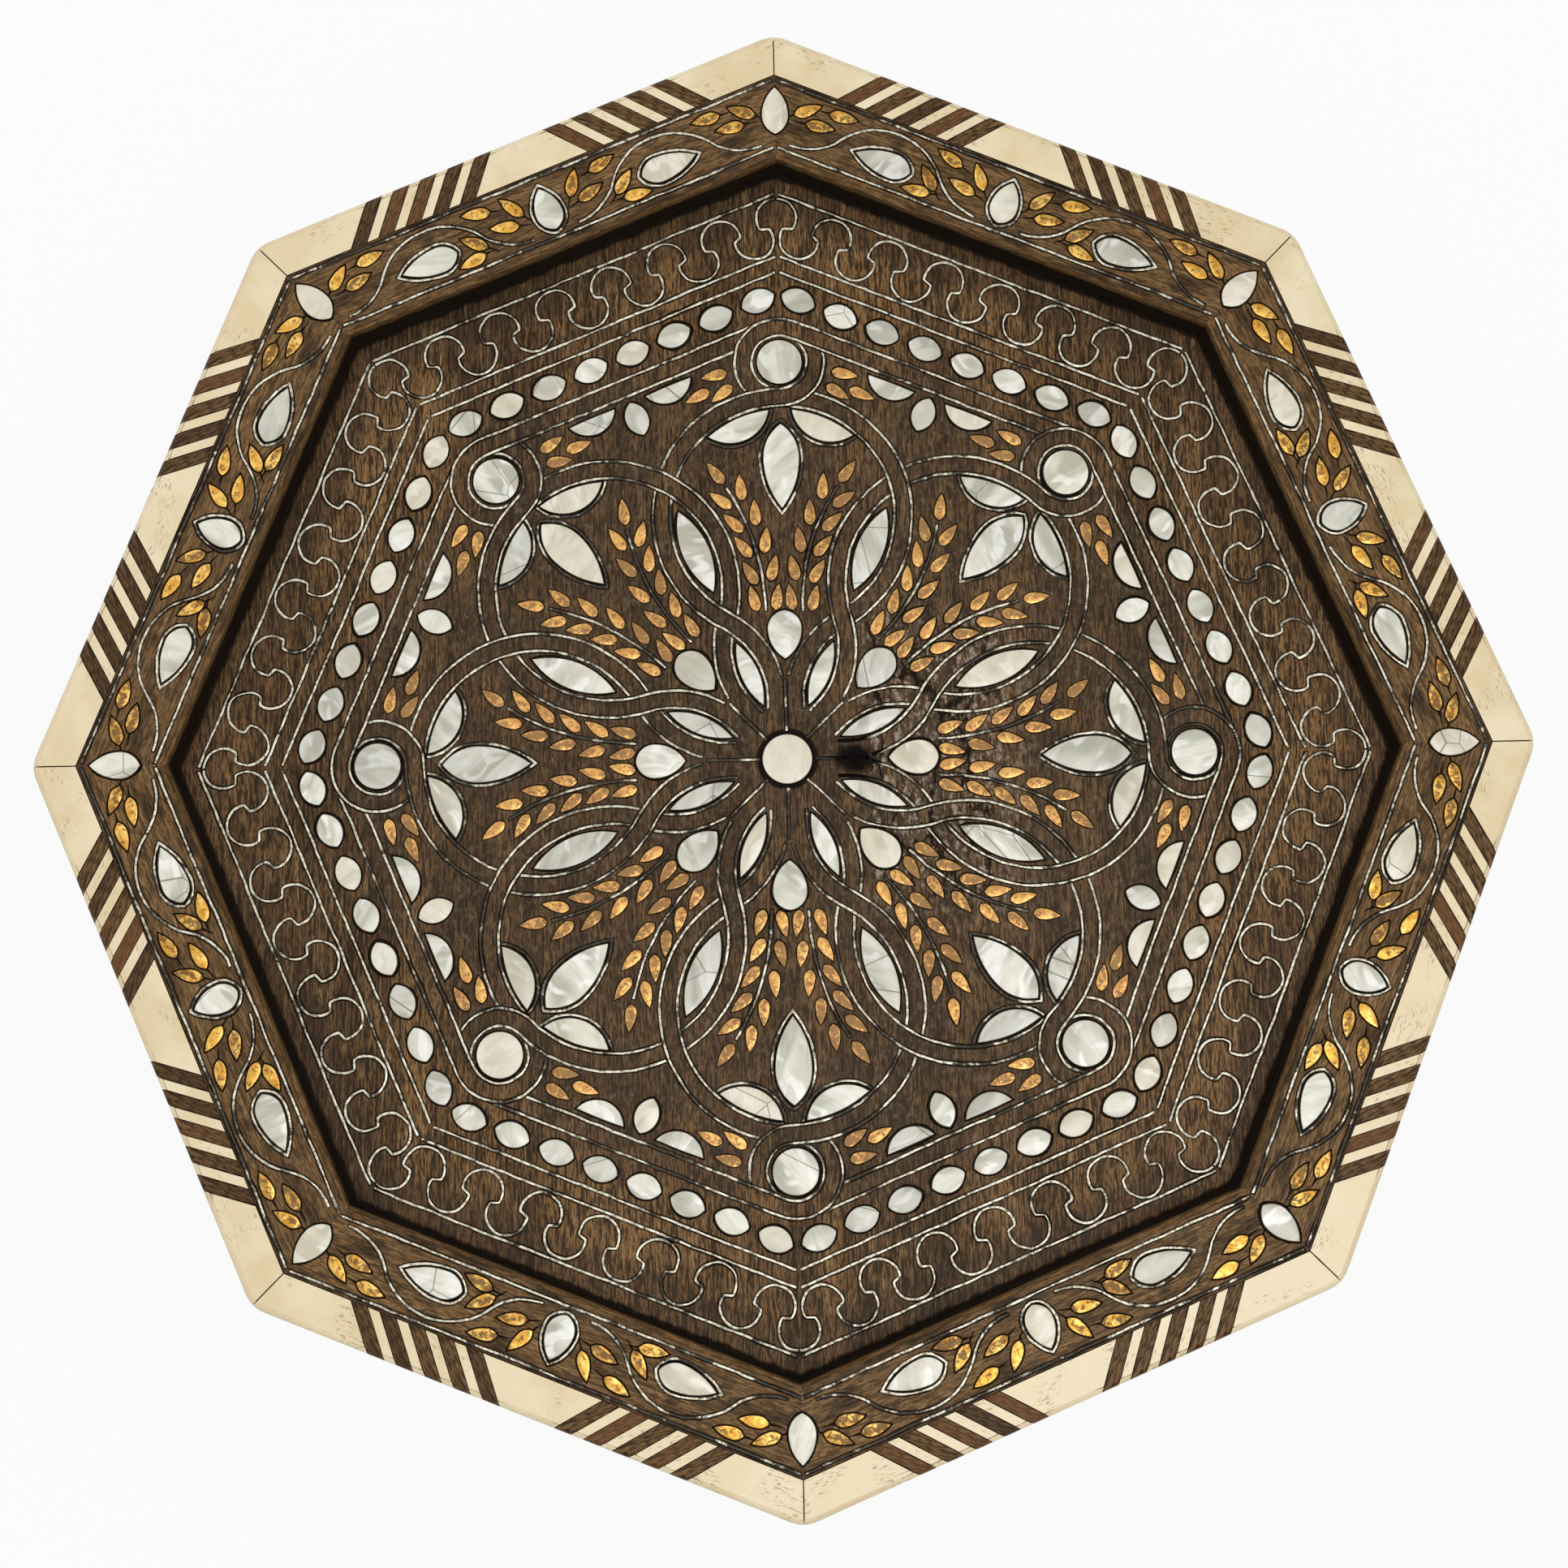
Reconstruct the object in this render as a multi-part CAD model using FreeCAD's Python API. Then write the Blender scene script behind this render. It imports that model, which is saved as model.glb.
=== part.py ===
import FreeCAD, Part
import math
import os
import random
from FreeCAD import Vector

# An eight-sided walnut box with a hinged lid. The lid is a board with a raised border; field and border are
# inlaid with pearl, brass leaves and tin wire, and the border's edge is bone and walnut stripes.
# Millimetres. +Z is up, the origin is on the table under the middle of the box, the hinges are on the +Y side.

# Carcase
LID_ACROSS_FLATS = 250.0
LID_OVERHANG = 4.0
BASE_OVERHANG = 3.0
LID_BOARD_INSET = 1.5
BASE_THICKNESS = 9.0
BASE_EDGE_RADIUS = 2.5
WALL_THICKNESS = 11.0
WALL_HOUSING = 2.0
SEAM_HEIGHT = 70.0
SEAM_GAP = 0.3
LID_SIDE_HEIGHT = 14.0
LID_SIDE_HOUSING = 1.5
LID_BOARD_THICKNESS = 7.0
SPLINE_THICKNESS = 2.5
SPLINE_WIDTH = 7.0
SPLINE_HEIGHT = 50.0
GLUE_CLEARANCE = 0.1

# Raised border of the lid
RAIL_THICKNESS = 7.0
RAIL_WIDTH = 22.8
RAIL_SLOPE_WIDTH = 0.4
RAIL_ROUND_WIDTH = 1.0
RAIL_ROUND_DEPTH = 1.6
EDGE_CORNER_RADIUS = 6.0
EDGE_TOP_RADIUS = 1.2

# Bone and walnut edging
BONE_WIDTH = 7.6
BONE_DEPTH = 3.0
BONE_CENTRE_HALF = 5.0
BONE_SLANT = 6.2
WHITE_STRIPE = 2.3
DARK_STRIPE = 3.1
WHITE_STRIPES = 4
BONE_JOINT = 0.16

# Linings
WALL_LINING_THICKNESS = 2.0
FLOOR_LINING_THICKNESS = 3.0
LID_LINING_THICKNESS = 2.5
LINING_BELOW_SEAM = 1.0

# Inlay
INLAY_DEPTH = 1.2
PEARL_PROUD = 0.12
WIRE_PROUD = 0.05
WIRE_WIDTH = 0.56
MASTIC_LINE = 0.26
SPRAY_MASTIC = 0.14
WIRE_CLEARANCE = 0.08
WIRE_GAP = 0.16
OUTLINE_GAP = 0.28
HAND_TURN = 3.0
HAND_SHIFT = 0.08

# Hinges
HINGE_SPREAD = 32.0
HINGE_LENGTH = 26.0
HINGE_SETBACK = 4.0
HINGE_LEAF_WIDTH = 6.4
HINGE_LEAF_THICKNESS = 1.0
BARREL_RADIUS = 1.9
BARREL_GAP = 0.2
BARREL_CLEARANCE = 0.35
PIN_RADIUS = 1.0
PIN_CLEARANCE = 0.04
STOP_ANGLE = 50.0
SCREW_SPACING = 16.0
SCREW_RADIUS = 0.7
SCREW_HEAD_RADIUS = 1.5
SCREW_LENGTH = 7.0
SCREW_CLEARANCE = 0.05

# The field's pattern is drawn for a field of this apothem and enlarged or reduced with the field.
FIELD_DRAWN = 100.3
LINE_1 = 96.9
LINE_2 = 86.0
LINE_3 = 83.2
LINE_4 = 75.6
RIBBON_WIDTH = 3.15
LOOP_RADIUS = 6.6
LOOP_DISC_RADIUS = 4.15
BIG_CIRCLE_RADIUS = 21.9
REVERSE_RADIUS = 16.5
CENTRE_DISC_RADIUS = 4.5
WAVE_UNITS = 7
WAVE_CAP_RADIUS = 3.6
WAVE_CAP_HALF_TURN = 100.0
WAVE_HORN_RADIUS = 0.45
WAVE_HORN_TURN = 60.0
SEEDS_PER_SIDE = 8
SEED_PITCH = 8.25
SEED_ROW = 79.5
INNER_DROP_AT = 22.6
THIN_LENS_AT = 16.7
LARGE_LENS_AT = 41.1
FLEUR_HEART_AT = 53.6
CENTRE_DROP_AT = 67.9
HALF_PETAL_AT = (7.5, 71.2)
HALF_PETAL_LENGTH = 9.0
HALF_PETAL_DEPTH = 3.1
SIDE_PETAL_FROM = 6.0
SIDE_PETAL_TO = 42.0
SIDE_PETAL_RISE = 3.4
SIDE_PETAL_GAP = 0.34
STEM_START = (-3.3, 26.9)
STEM_HEADING = 90.0
STEM_RADIUS = 42.0
STEM_TURN = 33.0
LEAF_PAIRS = (
    (2.5, 14.0, 2.1),
    (7.6, 22.0, 2.18),
    (12.7, 23.0, 2.2),
    (17.8, 24.0, 2.22),
    (22.8, 25.0, 2.24),
)
END_LEAF_AT = 27.5
RIBBON_TAIL_AT = 9.0
AXIS_WIRE_FROM_DISC = 0.3
AXIS_WIRE_PAST_BEND = 3.9
LINE_CORNER_GAP = 0.4
SPRIG_LEAVES = ((-11.9, 70.6, 192.0), (-10.6, 67.2, 216.0), (-15.0, 66.7, 205.0))
OUTER_CROSSING_FROM = 30.0
OUTER_CROSSING_TO = 112.0

# Pearls and leaves: length, width, and the share of the length at which they are widest.
SEED = (6.5, 4.5, 0.5)
INNER_DROP = (9.0, 6.2, 0.62)
THIN_LENS = (12.4, 3.3, 0.5)
LARGE_LENS = (16.2, 5.0, 0.5)
FLEUR_HEART = (15.8, 6.6, 0.6)
CENTRE_DROP = (6.6, 4.3, 0.5)
LEAF = (5.0, 2.1, 0.3)
BORDER_LEAF = (5.5, 2.25, 0.35)
BIG_DROP = (11.0, 5.0, 0.32)
MIDDLE_DROP = (8.4, 5.2, 0.38)
CORNER_DROP = (9.2, 5.0, 0.4)

# The border vine is drawn for a flat of this width and length.
VINE_FLAT_DRAWN = 13.9
VINE_SIDE_DRAWN = 91.54
VINE_START = (4.5, -4.8)
VINE_BEND = 10.5
VINE_BOW = 12.0
VINE_TURN = 55.3
MIDDLE_DROP_AT = -0.2
BIG_DROP_AT = (24.0, -1.4)
CORNER_DROP_SHIFT = 0.6
OUTER_LINE_INSET = 0.75
INNER_LINE_INSET = 1.0
VINE_LEAVES = ((16.5, -4.1, -9.0), (15.0, -1.0, 42.0), (8.7, -0.3, 15.0), (6.1, 2.7, 56.0), (12.6, 4.0, 14.0))
CORNER_LEAVES = ((8.8, 0.8, 10.0), (12.3, 4.1, 5.0), (5.6, 2.9, 40.0))
WALL_VINE_DRAWN = 100.24
WALL_HEIGHT_DRAWN = 60.9
WALL_VINE_ENLARGED = 1.38
WALL_VINE_CURL = 132.0
WALL_WAVE_PITCH = 10.8
WALL_WAVE_UNITS = 8
WALL_WAVE_ROW = 19.4
WALL_LINE_FROM_WAVE = 5.6
WALL_LINE_HALF = 47.5

SIDES = 8
HALF_TURN = math.pi / SIDES
TAN_HALF = math.tan(HALF_TURN)
COS_HALF = math.cos(HALF_TURN)
UP = Vector(0, 0, 1)
ORIGIN = Vector(0, 0, 0)
SIDE_NAMES = ("back", "back_left", "left", "front_left", "front", "front_right", "right", "back_right")

lid_apothem = LID_ACROSS_FLATS / 2
wall_apothem = lid_apothem - LID_OVERHANG
wall_inner = wall_apothem - WALL_THICKNESS
field_apothem = lid_apothem - RAIL_WIDTH
rail_flat_inner = field_apothem + RAIL_SLOPE_WIDTH + RAIL_ROUND_WIDTH
rail_flat_outer = lid_apothem - BONE_WIDTH
lid_board_bottom = SEAM_HEIGHT + LID_SIDE_HEIGHT
field_height = lid_board_bottom + LID_BOARD_THICKNESS
lid_top = field_height + RAIL_THICKNESS
hinge_y = wall_apothem - HINGE_SETBACK
hand = random.Random(5)
nodes = {}


def point(radius, degrees):
    return (radius * math.cos(math.radians(degrees)), radius * math.sin(math.radians(degrees)))


def polygon(points, height=0.0):
    corners = [Vector(x, y, height) for x, y in points]
    return Part.Face(Part.makePolygon(corners + corners[:1]))


def octagon(apothem):
    return [point(apothem / COS_HALF, 22.5 + 45 * k) for k in range(SIDES)]


def octagon_prism(apothem, low, high):
    return polygon(octagon(apothem), low).extrude(UP * (high - low))


def turned(shape, degrees):
    result = shape.copy()
    result.rotate(ORIGIN, UP, degrees)
    return result


def moved(shape, x, y, z=0.0):
    result = shape.copy()
    result.translate(Vector(x, y, z))
    return result


def put(face, x, y, degrees):
    return moved(turned(face, degrees), x, y)


def mitred_strip(inner, outer, low, high):
    """A straight strip of the octagon, on the side that faces +Y, between two apothems."""
    wide = outer * TAN_HALF
    narrow = inner * TAN_HALF
    plan = [(-wide, outer), (wide, outer), (narrow, inner), (-narrow, inner)]
    return polygon(plan, low).extrude(UP * (high - low))


# Flat shapes of the inlay: discs, petals, two-arc lenses and ribbons that follow straight and round stretches.

def disc(radius, grow=0.0):
    return Part.Face(Part.Wire(Part.makeCircle(radius + grow)))


def petal(length, width, belly, grow=0.0):
    """A pointed oval along +X, its middle at the origin, widest at the given share of its length."""
    half = width / 2
    rear = belly * length
    front = length - rear
    widest = rear - length / 2
    top = Vector(widest, half + grow, 0)
    bottom = Vector(widest, -half - grow, 0)
    edges = []
    for reach, way, first, second in ((rear, -1, bottom, top), (front, 1, top, bottom)):
        radius = (reach ** 2 + half ** 2) / width
        drop = radius - half
        grown = radius + grow
        tip = Vector(widest + way * math.sqrt(grown ** 2 - drop ** 2), 0, 0)
        lean = math.asin(drop / grown)
        bow = (math.pi / 2 + lean) / 2
        across = way * grown * math.cos(bow)
        rise = grown * math.sin(bow) - drop
        low_mid = Vector(widest + across, -rise, 0)
        high_mid = Vector(widest + across, rise, 0)
        first_mid = low_mid if first is bottom else high_mid
        second_mid = high_mid if first is bottom else low_mid
        edges.append(Part.Arc(first, first_mid, tip).toShape())
        edges.append(Part.Arc(tip, second_mid, second).toShape())
    return Part.Face(Part.Wire(edges))


def lens(start, end, left_rise, right_rise, grow=0.0):
    """A shape between two points, bounded by an arc on either side of the line that joins them."""
    a = Vector(start[0], start[1], 0)
    b = Vector(end[0], end[1], 0)
    along = (b - a).normalize()
    left = Vector(-along.y, along.x, 0)
    middle = (a + b) * 0.5
    quarter = ((b - a).Length / 2) ** 2
    left_radius = (quarter + left_rise ** 2) / (2 * left_rise)
    right_radius = (quarter + right_rise ** 2) / (2 * right_rise)
    left_centre = middle - left * (left_radius - left_rise)
    apart = left_radius - left_rise + right_radius - right_rise
    r1 = left_radius + grow
    r2 = right_radius + grow
    offset = (r1 ** 2 - r2 ** 2 + apart ** 2) / (2 * apart)
    reach = math.sqrt(r1 ** 2 - offset ** 2)
    tail = left_centre + left * offset - along * reach
    tip = left_centre + left * offset + along * reach
    over = Part.Arc(tail, middle + left * (left_rise + grow), tip).toShape()
    under = Part.Arc(tip, middle - left * (right_rise + grow), tail).toShape()
    return Part.Face(Part.Wire([over, under]))


def walk(start, heading, steps):
    """Stretches of a path: (length,) is straight, (radius, turn) is round, and a positive turn bears left."""
    x, y = start
    path = []
    for step in steps:
        if len(step) == 1:
            path.append((x, y, heading, step[0], 0.0))
            x += step[0] * math.cos(math.radians(heading))
            y += step[0] * math.sin(math.radians(heading))
        else:
            radius, turn = step
            path.append((x, y, heading, radius, turn))
            side = math.copysign(90.0, turn)
            cx, cy = point(radius, heading + side)
            ex, ey = point(radius, heading - side + turn)
            x += cx + ex
            y += cy + ey
            heading += turn
    return path


def offset_edge(stretch, offset):
    x, y, heading, size, turn = stretch
    ox, oy = point(offset, heading + 90)
    if turn == 0.0:
        dx, dy = point(size, heading)
        return Part.makeLine(Vector(x + ox, y + oy, 0), Vector(x + ox + dx, y + oy + dy, 0))
    side = math.copysign(90.0, turn)
    cx, cy = point(size, heading + side)
    radius = size - offset * math.copysign(1.0, turn)
    stops = [point(radius, heading - side + turn * share) for share in (0.0, 0.5, 1.0)]
    p, q, r = [Vector(x + cx + a, y + cy + b, 0) for a, b in stops]
    return Part.Arc(p, q, r).toShape()


def ribbon(path, low, high):
    """The flat strip between two offsets from a path."""
    near = [offset_edge(stretch, low) for stretch in path]
    far = [offset_edge(stretch, high) for stretch in reversed(path)]
    first = near[0].valueAt(near[0].FirstParameter)
    last = near[-1].valueAt(near[-1].LastParameter)
    far_last = far[0].valueAt(far[0].LastParameter)
    far_first = far[-1].valueAt(far[-1].FirstParameter)
    turn_back = [Part.makeLine(last, far_last)]
    close = [Part.makeLine(far_first, first)]
    return Part.Face(Part.Wire(near + turn_back + far + close))


class Board:
    """A face being inlaid: what is let in, by node, and the pockets that take it."""

    def __init__(self, scale=1.0):
        self.scale = scale
        self.pockets = []
        self.pieces = {}

    def pen(self, width):
        """A width as it is drawn: true on a full-size board, and finer on a smaller one."""
        return width / max(1.0, self.scale)

    def let_in(self, node, piece, pocket, proud):
        inset = piece.copy()
        inset.scale(self.scale, ORIGIN)
        inset.translate(UP * -INLAY_DEPTH)
        self.pieces.setdefault(node, []).append(inset.extrude(UP * (INLAY_DEPTH + proud)))
        if pocket is not None:
            hole = pocket.copy()
            hole.scale(self.scale, ORIGIN)
            hole.translate(UP * -INLAY_DEPTH)
            self.pockets.append(hole.extrude(UP * (INLAY_DEPTH + 1)))

    def shape_in(self, node, maker, place, proud=0.0, line=MASTIC_LINE):
        """One pearl or leaf with a mastic line round it."""
        self.let_in(node, put(maker(0.0), *place), put(maker(self.pen(line)), *place), proud)

    def outlined(self, node, wire_node, maker, place, neighbour=None, within=None):
        """A pearl with a wire round it, in one pocket; the wire stops short of a neighbour's or at a bound."""
        gap = self.pen(OUTLINE_GAP)
        pen = self.pen(WIRE_WIDTH)
        ring = put(maker(gap + pen).cut(maker(gap)).Faces[0], *place)
        if neighbour:
            other, spot = neighbour
            ring = ring.cut(put(other(gap + pen + self.pen(WIRE_GAP)), *spot))
        rim = put(maker(gap + pen + self.pen(WIRE_CLEARANCE)), *place)
        if within:
            ring = ring.common(put(within(-self.pen(WIRE_GAP)), *place))
            rim = rim.common(put(within(pen / 2), *place)).Faces[0]
        self.let_in(node, put(maker(0.0), *place), rim, PEARL_PROUD)
        for face in ring.Faces:
            self.let_in(wire_node, face, None, WIRE_PROUD)

    def wire_in(self, node, path, offset=0.0, covers=(), angle=0.0):
        """A wire along a path; it stops short wherever one of the covering ribbons passes over it."""
        pen = self.pen(WIRE_WIDTH) / 2
        ease = self.pen(WIRE_CLEARANCE)
        piece = ribbon(path, offset - pen, offset + pen)
        groove = ribbon(path, offset - pen - ease, offset + pen + ease)
        reach = RIBBON_WIDTH / 2 + pen + self.pen(WIRE_GAP)
        if covers:
            piece = piece.cut([ribbon(cover, -reach, reach) for cover in covers])
            groove = groove.cut([ribbon(cover, ease - reach, reach - ease) for cover in covers])
        for face in piece.Faces:
            if face.Area > 4 * pen * pen:
                self.let_in(node, turned(face, angle), None, WIRE_PROUD)
        for face in groove.Faces:
            hole = turned(face, angle)
            hole.scale(self.scale, ORIGIN)
            hole.translate(UP * -INLAY_DEPTH)
            self.pockets.append(hole.extrude(UP * (INLAY_DEPTH + 1)))


def by_hand(x, y, degrees):
    """A place as a hand would hit it: a little turned and a little shifted."""
    turn = hand.uniform(-HAND_TURN, HAND_TURN)
    aside = hand.uniform(-HAND_SHIFT, HAND_SHIFT)
    up = hand.uniform(-HAND_SHIFT, HAND_SHIFT)
    return (x + aside, y + up, degrees + turn)


def swing(place, degrees):
    """A place turned about the middle of the field."""
    x, y, heading = place
    c = math.cos(math.radians(degrees))
    s = math.sin(math.radians(degrees))
    return (x * c - y * s, x * s + y * c, heading + degrees)


def wave_steps(pitch):
    """Half a unit of the interlocking wave, as steps, with the height of its caps above the middle line."""
    turn = math.radians(WAVE_CAP_HALF_TURN)
    full = math.radians(WAVE_CAP_HALF_TURN + WAVE_HORN_TURN)
    run = WAVE_CAP_RADIUS * math.sin(turn) + WAVE_HORN_RADIUS * (math.sin(full) - math.sin(turn))
    link = 2 * (run - pitch / 4) / -math.cos(full)
    rise = WAVE_CAP_RADIUS * (1 - math.cos(turn)) + WAVE_HORN_RADIUS * (math.cos(turn) - math.cos(full))
    return link, rise + link / 2 * math.sin(full)


def wave_path(start, heading, first_turn, last_turn, link, units):
    """Caps out and in by turns, each joined to the next by a horn, a short link and a horn."""
    out_link = [(WAVE_HORN_RADIUS, -WAVE_HORN_TURN), (link,), (WAVE_HORN_RADIUS, WAVE_HORN_TURN)]
    in_link = [(WAVE_HORN_RADIUS, WAVE_HORN_TURN), (link,), (WAVE_HORN_RADIUS, -WAVE_HORN_TURN)]
    steps = [(WAVE_CAP_RADIUS, -first_turn)]
    for unit in range(units):
        steps += out_link + [(WAVE_CAP_RADIUS, 2 * WAVE_CAP_HALF_TURN)] + in_link
        last = unit == units - 1
        steps.append((WAVE_CAP_RADIUS, -last_turn if last else -2 * WAVE_CAP_HALF_TURN))
    return walk(start, heading, steps)


# The field: everything is drawn with a corner of the octagon straight up, then turned into its sector.

field = Board(field_apothem / FIELD_DRAWN)
half_ribbon = RIBBON_WIDTH / 2
band_middle = LINE_4 - half_ribbon
disc_at = (band_middle - LOOP_RADIUS) / COS_HALF
big_at = disc_at - LOOP_RADIUS - BIG_CIRCLE_RADIUS
reverse_x = half_ribbon + REVERSE_RADIUS
reverse_y = big_at - math.sqrt((BIG_CIRCLE_RADIUS + REVERSE_RADIUS) ** 2 - reverse_x ** 2)
reverse_turn = math.degrees(math.atan2(big_at - reverse_y, reverse_x))
big_turn = 90 + reverse_turn
band_run = disc_at * math.sin(HALF_TURN)
circle_inside = BIG_CIRCLE_RADIUS - half_ribbon - field.pen(WIRE_WIDTH) / 2


def strand(side, steps, start, heading):
    """A stretch of ribbon on the left (+1) or the right (-1) of the sector's axis."""
    x, y = start
    drawn = [step if len(step) == 1 else (step[0], side * step[1]) for step in steps]
    return walk((side * x, y), heading if side > 0 else 180 - heading, drawn)


def whole_strand(side, last_turn, tail):
    steps = [(band_run,), (LOOP_RADIUS, -202.5), (BIG_CIRCLE_RADIUS, big_turn), (REVERSE_RADIUS, -last_turn)]
    if tail > 0:
        steps.append((tail,))
    return strand(side, steps, point(band_middle, 112.5), 22.5)


def over_top(side, back_turn):
    """The stretch of band and loop that lies over the other ribbon at a corner."""
    return strand(side, [(band_run,), (LOOP_RADIUS, -back_turn)], point(band_middle, 112.5), 22.5)


def under_disc(side):
    """The stretch that comes down beside the disc, passes below it and runs on into the big circle."""
    x, y = point(LOOP_RADIUS, 8.0)
    return strand(side, [(LOOP_RADIUS, -98.0), (BIG_CIRCLE_RADIUS, 40.0)], (x, disc_at + y), -82.0)


def big_stretch(side, begin, finish, reverse):
    x, y = point(BIG_CIRCLE_RADIUS, 90 + begin)
    steps = [(BIG_CIRCLE_RADIUS, finish - begin)]
    if reverse > 0:
        steps.append((REVERSE_RADIUS, -reverse))
    return strand(side, steps, (x, big_at + y), 180 + begin)


def swung(path, degrees):
    result = []
    for x, y, heading, size, turn in path:
        px, py, ph = swing((x, y, heading), degrees)
        result.append((px, py, ph, size, turn))
    return result


# Left ribbons pass under the next sector's right ribbon at the outer crossing and over it at the inner one.
# At each corner disc the right ribbon's band lies on top and the left ribbon passes below the disc.
tail_run = reverse_y - RIBBON_TAIL_AT
axis_from = CENTRE_DISC_RADIUS + MASTIC_LINE + AXIS_WIRE_FROM_DISC
axis_run = reverse_y + AXIS_WIRE_PAST_BEND - axis_from
axis_wire = walk((0, axis_from), 90, [(axis_run,)])
axis_cover = walk((0, axis_from), 90, [(axis_run + WIRE_WIDTH,)])
left_covers = [over_top(-1, 148.0), swung(big_stretch(-1, OUTER_CROSSING_FROM, OUTER_CROSSING_TO, 0), 45)]
right_covers = [under_disc(1), swung(big_stretch(1, OUTER_CROSSING_TO, big_turn, 40.0), -45)]
link, cap_rise = 0.0, WAVE_CAP_RADIUS
wave_middle = (LINE_1 + LINE_2) / 2
for settle in range(12):
    cap_centre = wave_middle + cap_rise - WAVE_CAP_RADIUS
    wave_pitch = 2 * cap_centre * TAN_HALF / WAVE_UNITS
    link, cap_rise = wave_steps(wave_pitch)

wave_start = point(cap_centre / COS_HALF, 112.5)
wave_cap = point(WAVE_CAP_RADIUS, 111.0)
corner_cap = WAVE_CAP_HALF_TURN + 21.0
wave_begin = (wave_start[0] + wave_cap[0], wave_start[1] + wave_cap[1])
side_wave = wave_path(wave_begin, 21.0, corner_cap, corner_cap, link, WAVE_UNITS)


def shaped(sizes):
    """A petal of the given sizes, ready to be grown by a margin."""
    return lambda grow: petal(*sizes, grow)


def inside_circle(grow):
    """What lies inside the wire along the inner edge of the big circle."""
    return moved(disc(circle_inside, grow), 0, big_at)


def side_petal(side):
    """A petal of the fleur that follows the big circle's inner wire, left (+1) or right (-1) of the axis."""
    radius = circle_inside - SIDE_PETAL_GAP
    ends = [point(radius, 90 + side * away) for away in (SIDE_PETAL_FROM, SIDE_PETAL_TO)]
    start, end = ends if side > 0 else reversed(ends)
    bow = radius * (1 - math.cos(math.radians(SIDE_PETAL_TO - SIDE_PETAL_FROM) / 2))
    return lambda grow: moved(lens(start, end, SIDE_PETAL_RISE, bow, grow), 0, big_at)


def half_petal(grow):
    half = HALF_PETAL_LENGTH / 2
    return lens((-half, 0), (half, 0), 0.12, HALF_PETAL_DEPTH, grow)


def leaf_spot(station, lean, away):
    """The middle of a leaf beside the stem, so far along it and to its left, leaning by the given angle."""
    sweep = math.degrees(station / STEM_RADIUS)
    bx, by = point(STEM_RADIUS, STEM_HEADING - 90)
    ax, ay = point(STEM_RADIUS - away, STEM_HEADING - 90 + sweep)
    return (STEM_START[0] + ax - bx, STEM_START[1] + ay - by, STEM_HEADING + sweep + lean)


def loop_disc(grow):
    return disc(LOOP_DISC_RADIUS, grow)


field.shape_in("pearl_discs", lambda grow: disc(CENTRE_DISC_RADIUS, grow), (0, 0, 0), PEARL_PROUD)
for k in range(SIDES):
    turn = 45.0 * k - 67.5
    side_turn = 45.0 * k - 90.0

    for apothem in (LINE_1, LINE_2, LINE_3):
        run = apothem * TAN_HALF - LINE_CORNER_GAP
        field.wire_in("tin_field_lines", walk((-run, apothem), 0, [(2 * run,)]), angle=side_turn)
    field.wire_in("tin_field_wave", side_wave, angle=side_turn)
    for n in range(SEEDS_PER_SIDE):
        t = (n - (SEEDS_PER_SIDE - 1) / 2) * SEED_PITCH
        field.shape_in("pearl_seeds", shaped(SEED), swing(by_hand(t, SEED_ROW, 0), side_turn), PEARL_PROUD)

    field.shape_in("pearl_discs", loop_disc, swing((0, disc_at, 0), turn), PEARL_PROUD)
    for side, covers in ((1, left_covers), (-1, right_covers)):
        lens_edge = whole_strand(side, reverse_turn, tail_run)
        axis_edge = whole_strand(side, reverse_turn, 0)
        field.wire_in("tin_field_ribbons", lens_edge, -side * half_ribbon, covers, turn)
        field.wire_in("tin_field_ribbons", axis_edge, side * half_ribbon, covers + [axis_cover], turn)
    field.wire_in("tin_field_stems", axis_wire, angle=turn)

    field.shape_in("pearl_inner_drops", shaped(INNER_DROP), swing((0, INNER_DROP_AT, 90), turn), PEARL_PROUD)
    field.shape_in("pearl_lenses", shaped(THIN_LENS), swing((0, THIN_LENS_AT, 90), turn + 22.5), PEARL_PROUD)
    large_at = swing((0, LARGE_LENS_AT, 90), turn + 22.5)
    field.shape_in("pearl_lenses", shaped(LARGE_LENS), large_at, PEARL_PROUD)
    heart = (shaped(FLEUR_HEART), swing((0, FLEUR_HEART_AT, 90), turn))
    field.outlined("pearl_fleurs", "tin_field_stems", *heart)
    for side in (1, -1):
        beside = (side_petal(side), (0, 0, turn))
        field.outlined("pearl_fleurs", "tin_field_stems", *beside, heart, inside_circle)

    drop_at = swing((0, CENTRE_DROP_AT, 90), turn + 22.5)
    field.shape_in("pearl_half_petals", shaped(CENTRE_DROP), drop_at, PEARL_PROUD)
    for side in (1, -1):
        spot = (side * HALF_PETAL_AT[0], HALF_PETAL_AT[1], 0)
        field.shape_in("pearl_half_petals", half_petal, swing(spot, turn + 22.5), PEARL_PROUD)

    for side in (1, -1):
        stem = strand(side, [(STEM_RADIUS, STEM_TURN)], STEM_START, STEM_HEADING)
        field.wire_in("tin_field_stems", stem, angle=turn)
        spots = [by_hand(*spot) for spot in SPRIG_LEAVES]
        for station, lean, away in LEAF_PAIRS:
            for way in (1, -1):
                spots.append(by_hand(*leaf_spot(station, way * lean, way * away)))
        spots.append(leaf_spot(END_LEAF_AT, 0.0, 0.0))
        for x, y, heading in spots:
            spot = (side * x, y, heading if side > 0 else 180 - heading)
            field.shape_in("brass_field_leaves", shaped(LEAF), swing(spot, turn), line=SPRAY_MASTIC)


# The border vine, drawn about the middle of the flat with the outer edge up; its two ends mirror each other.

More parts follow.
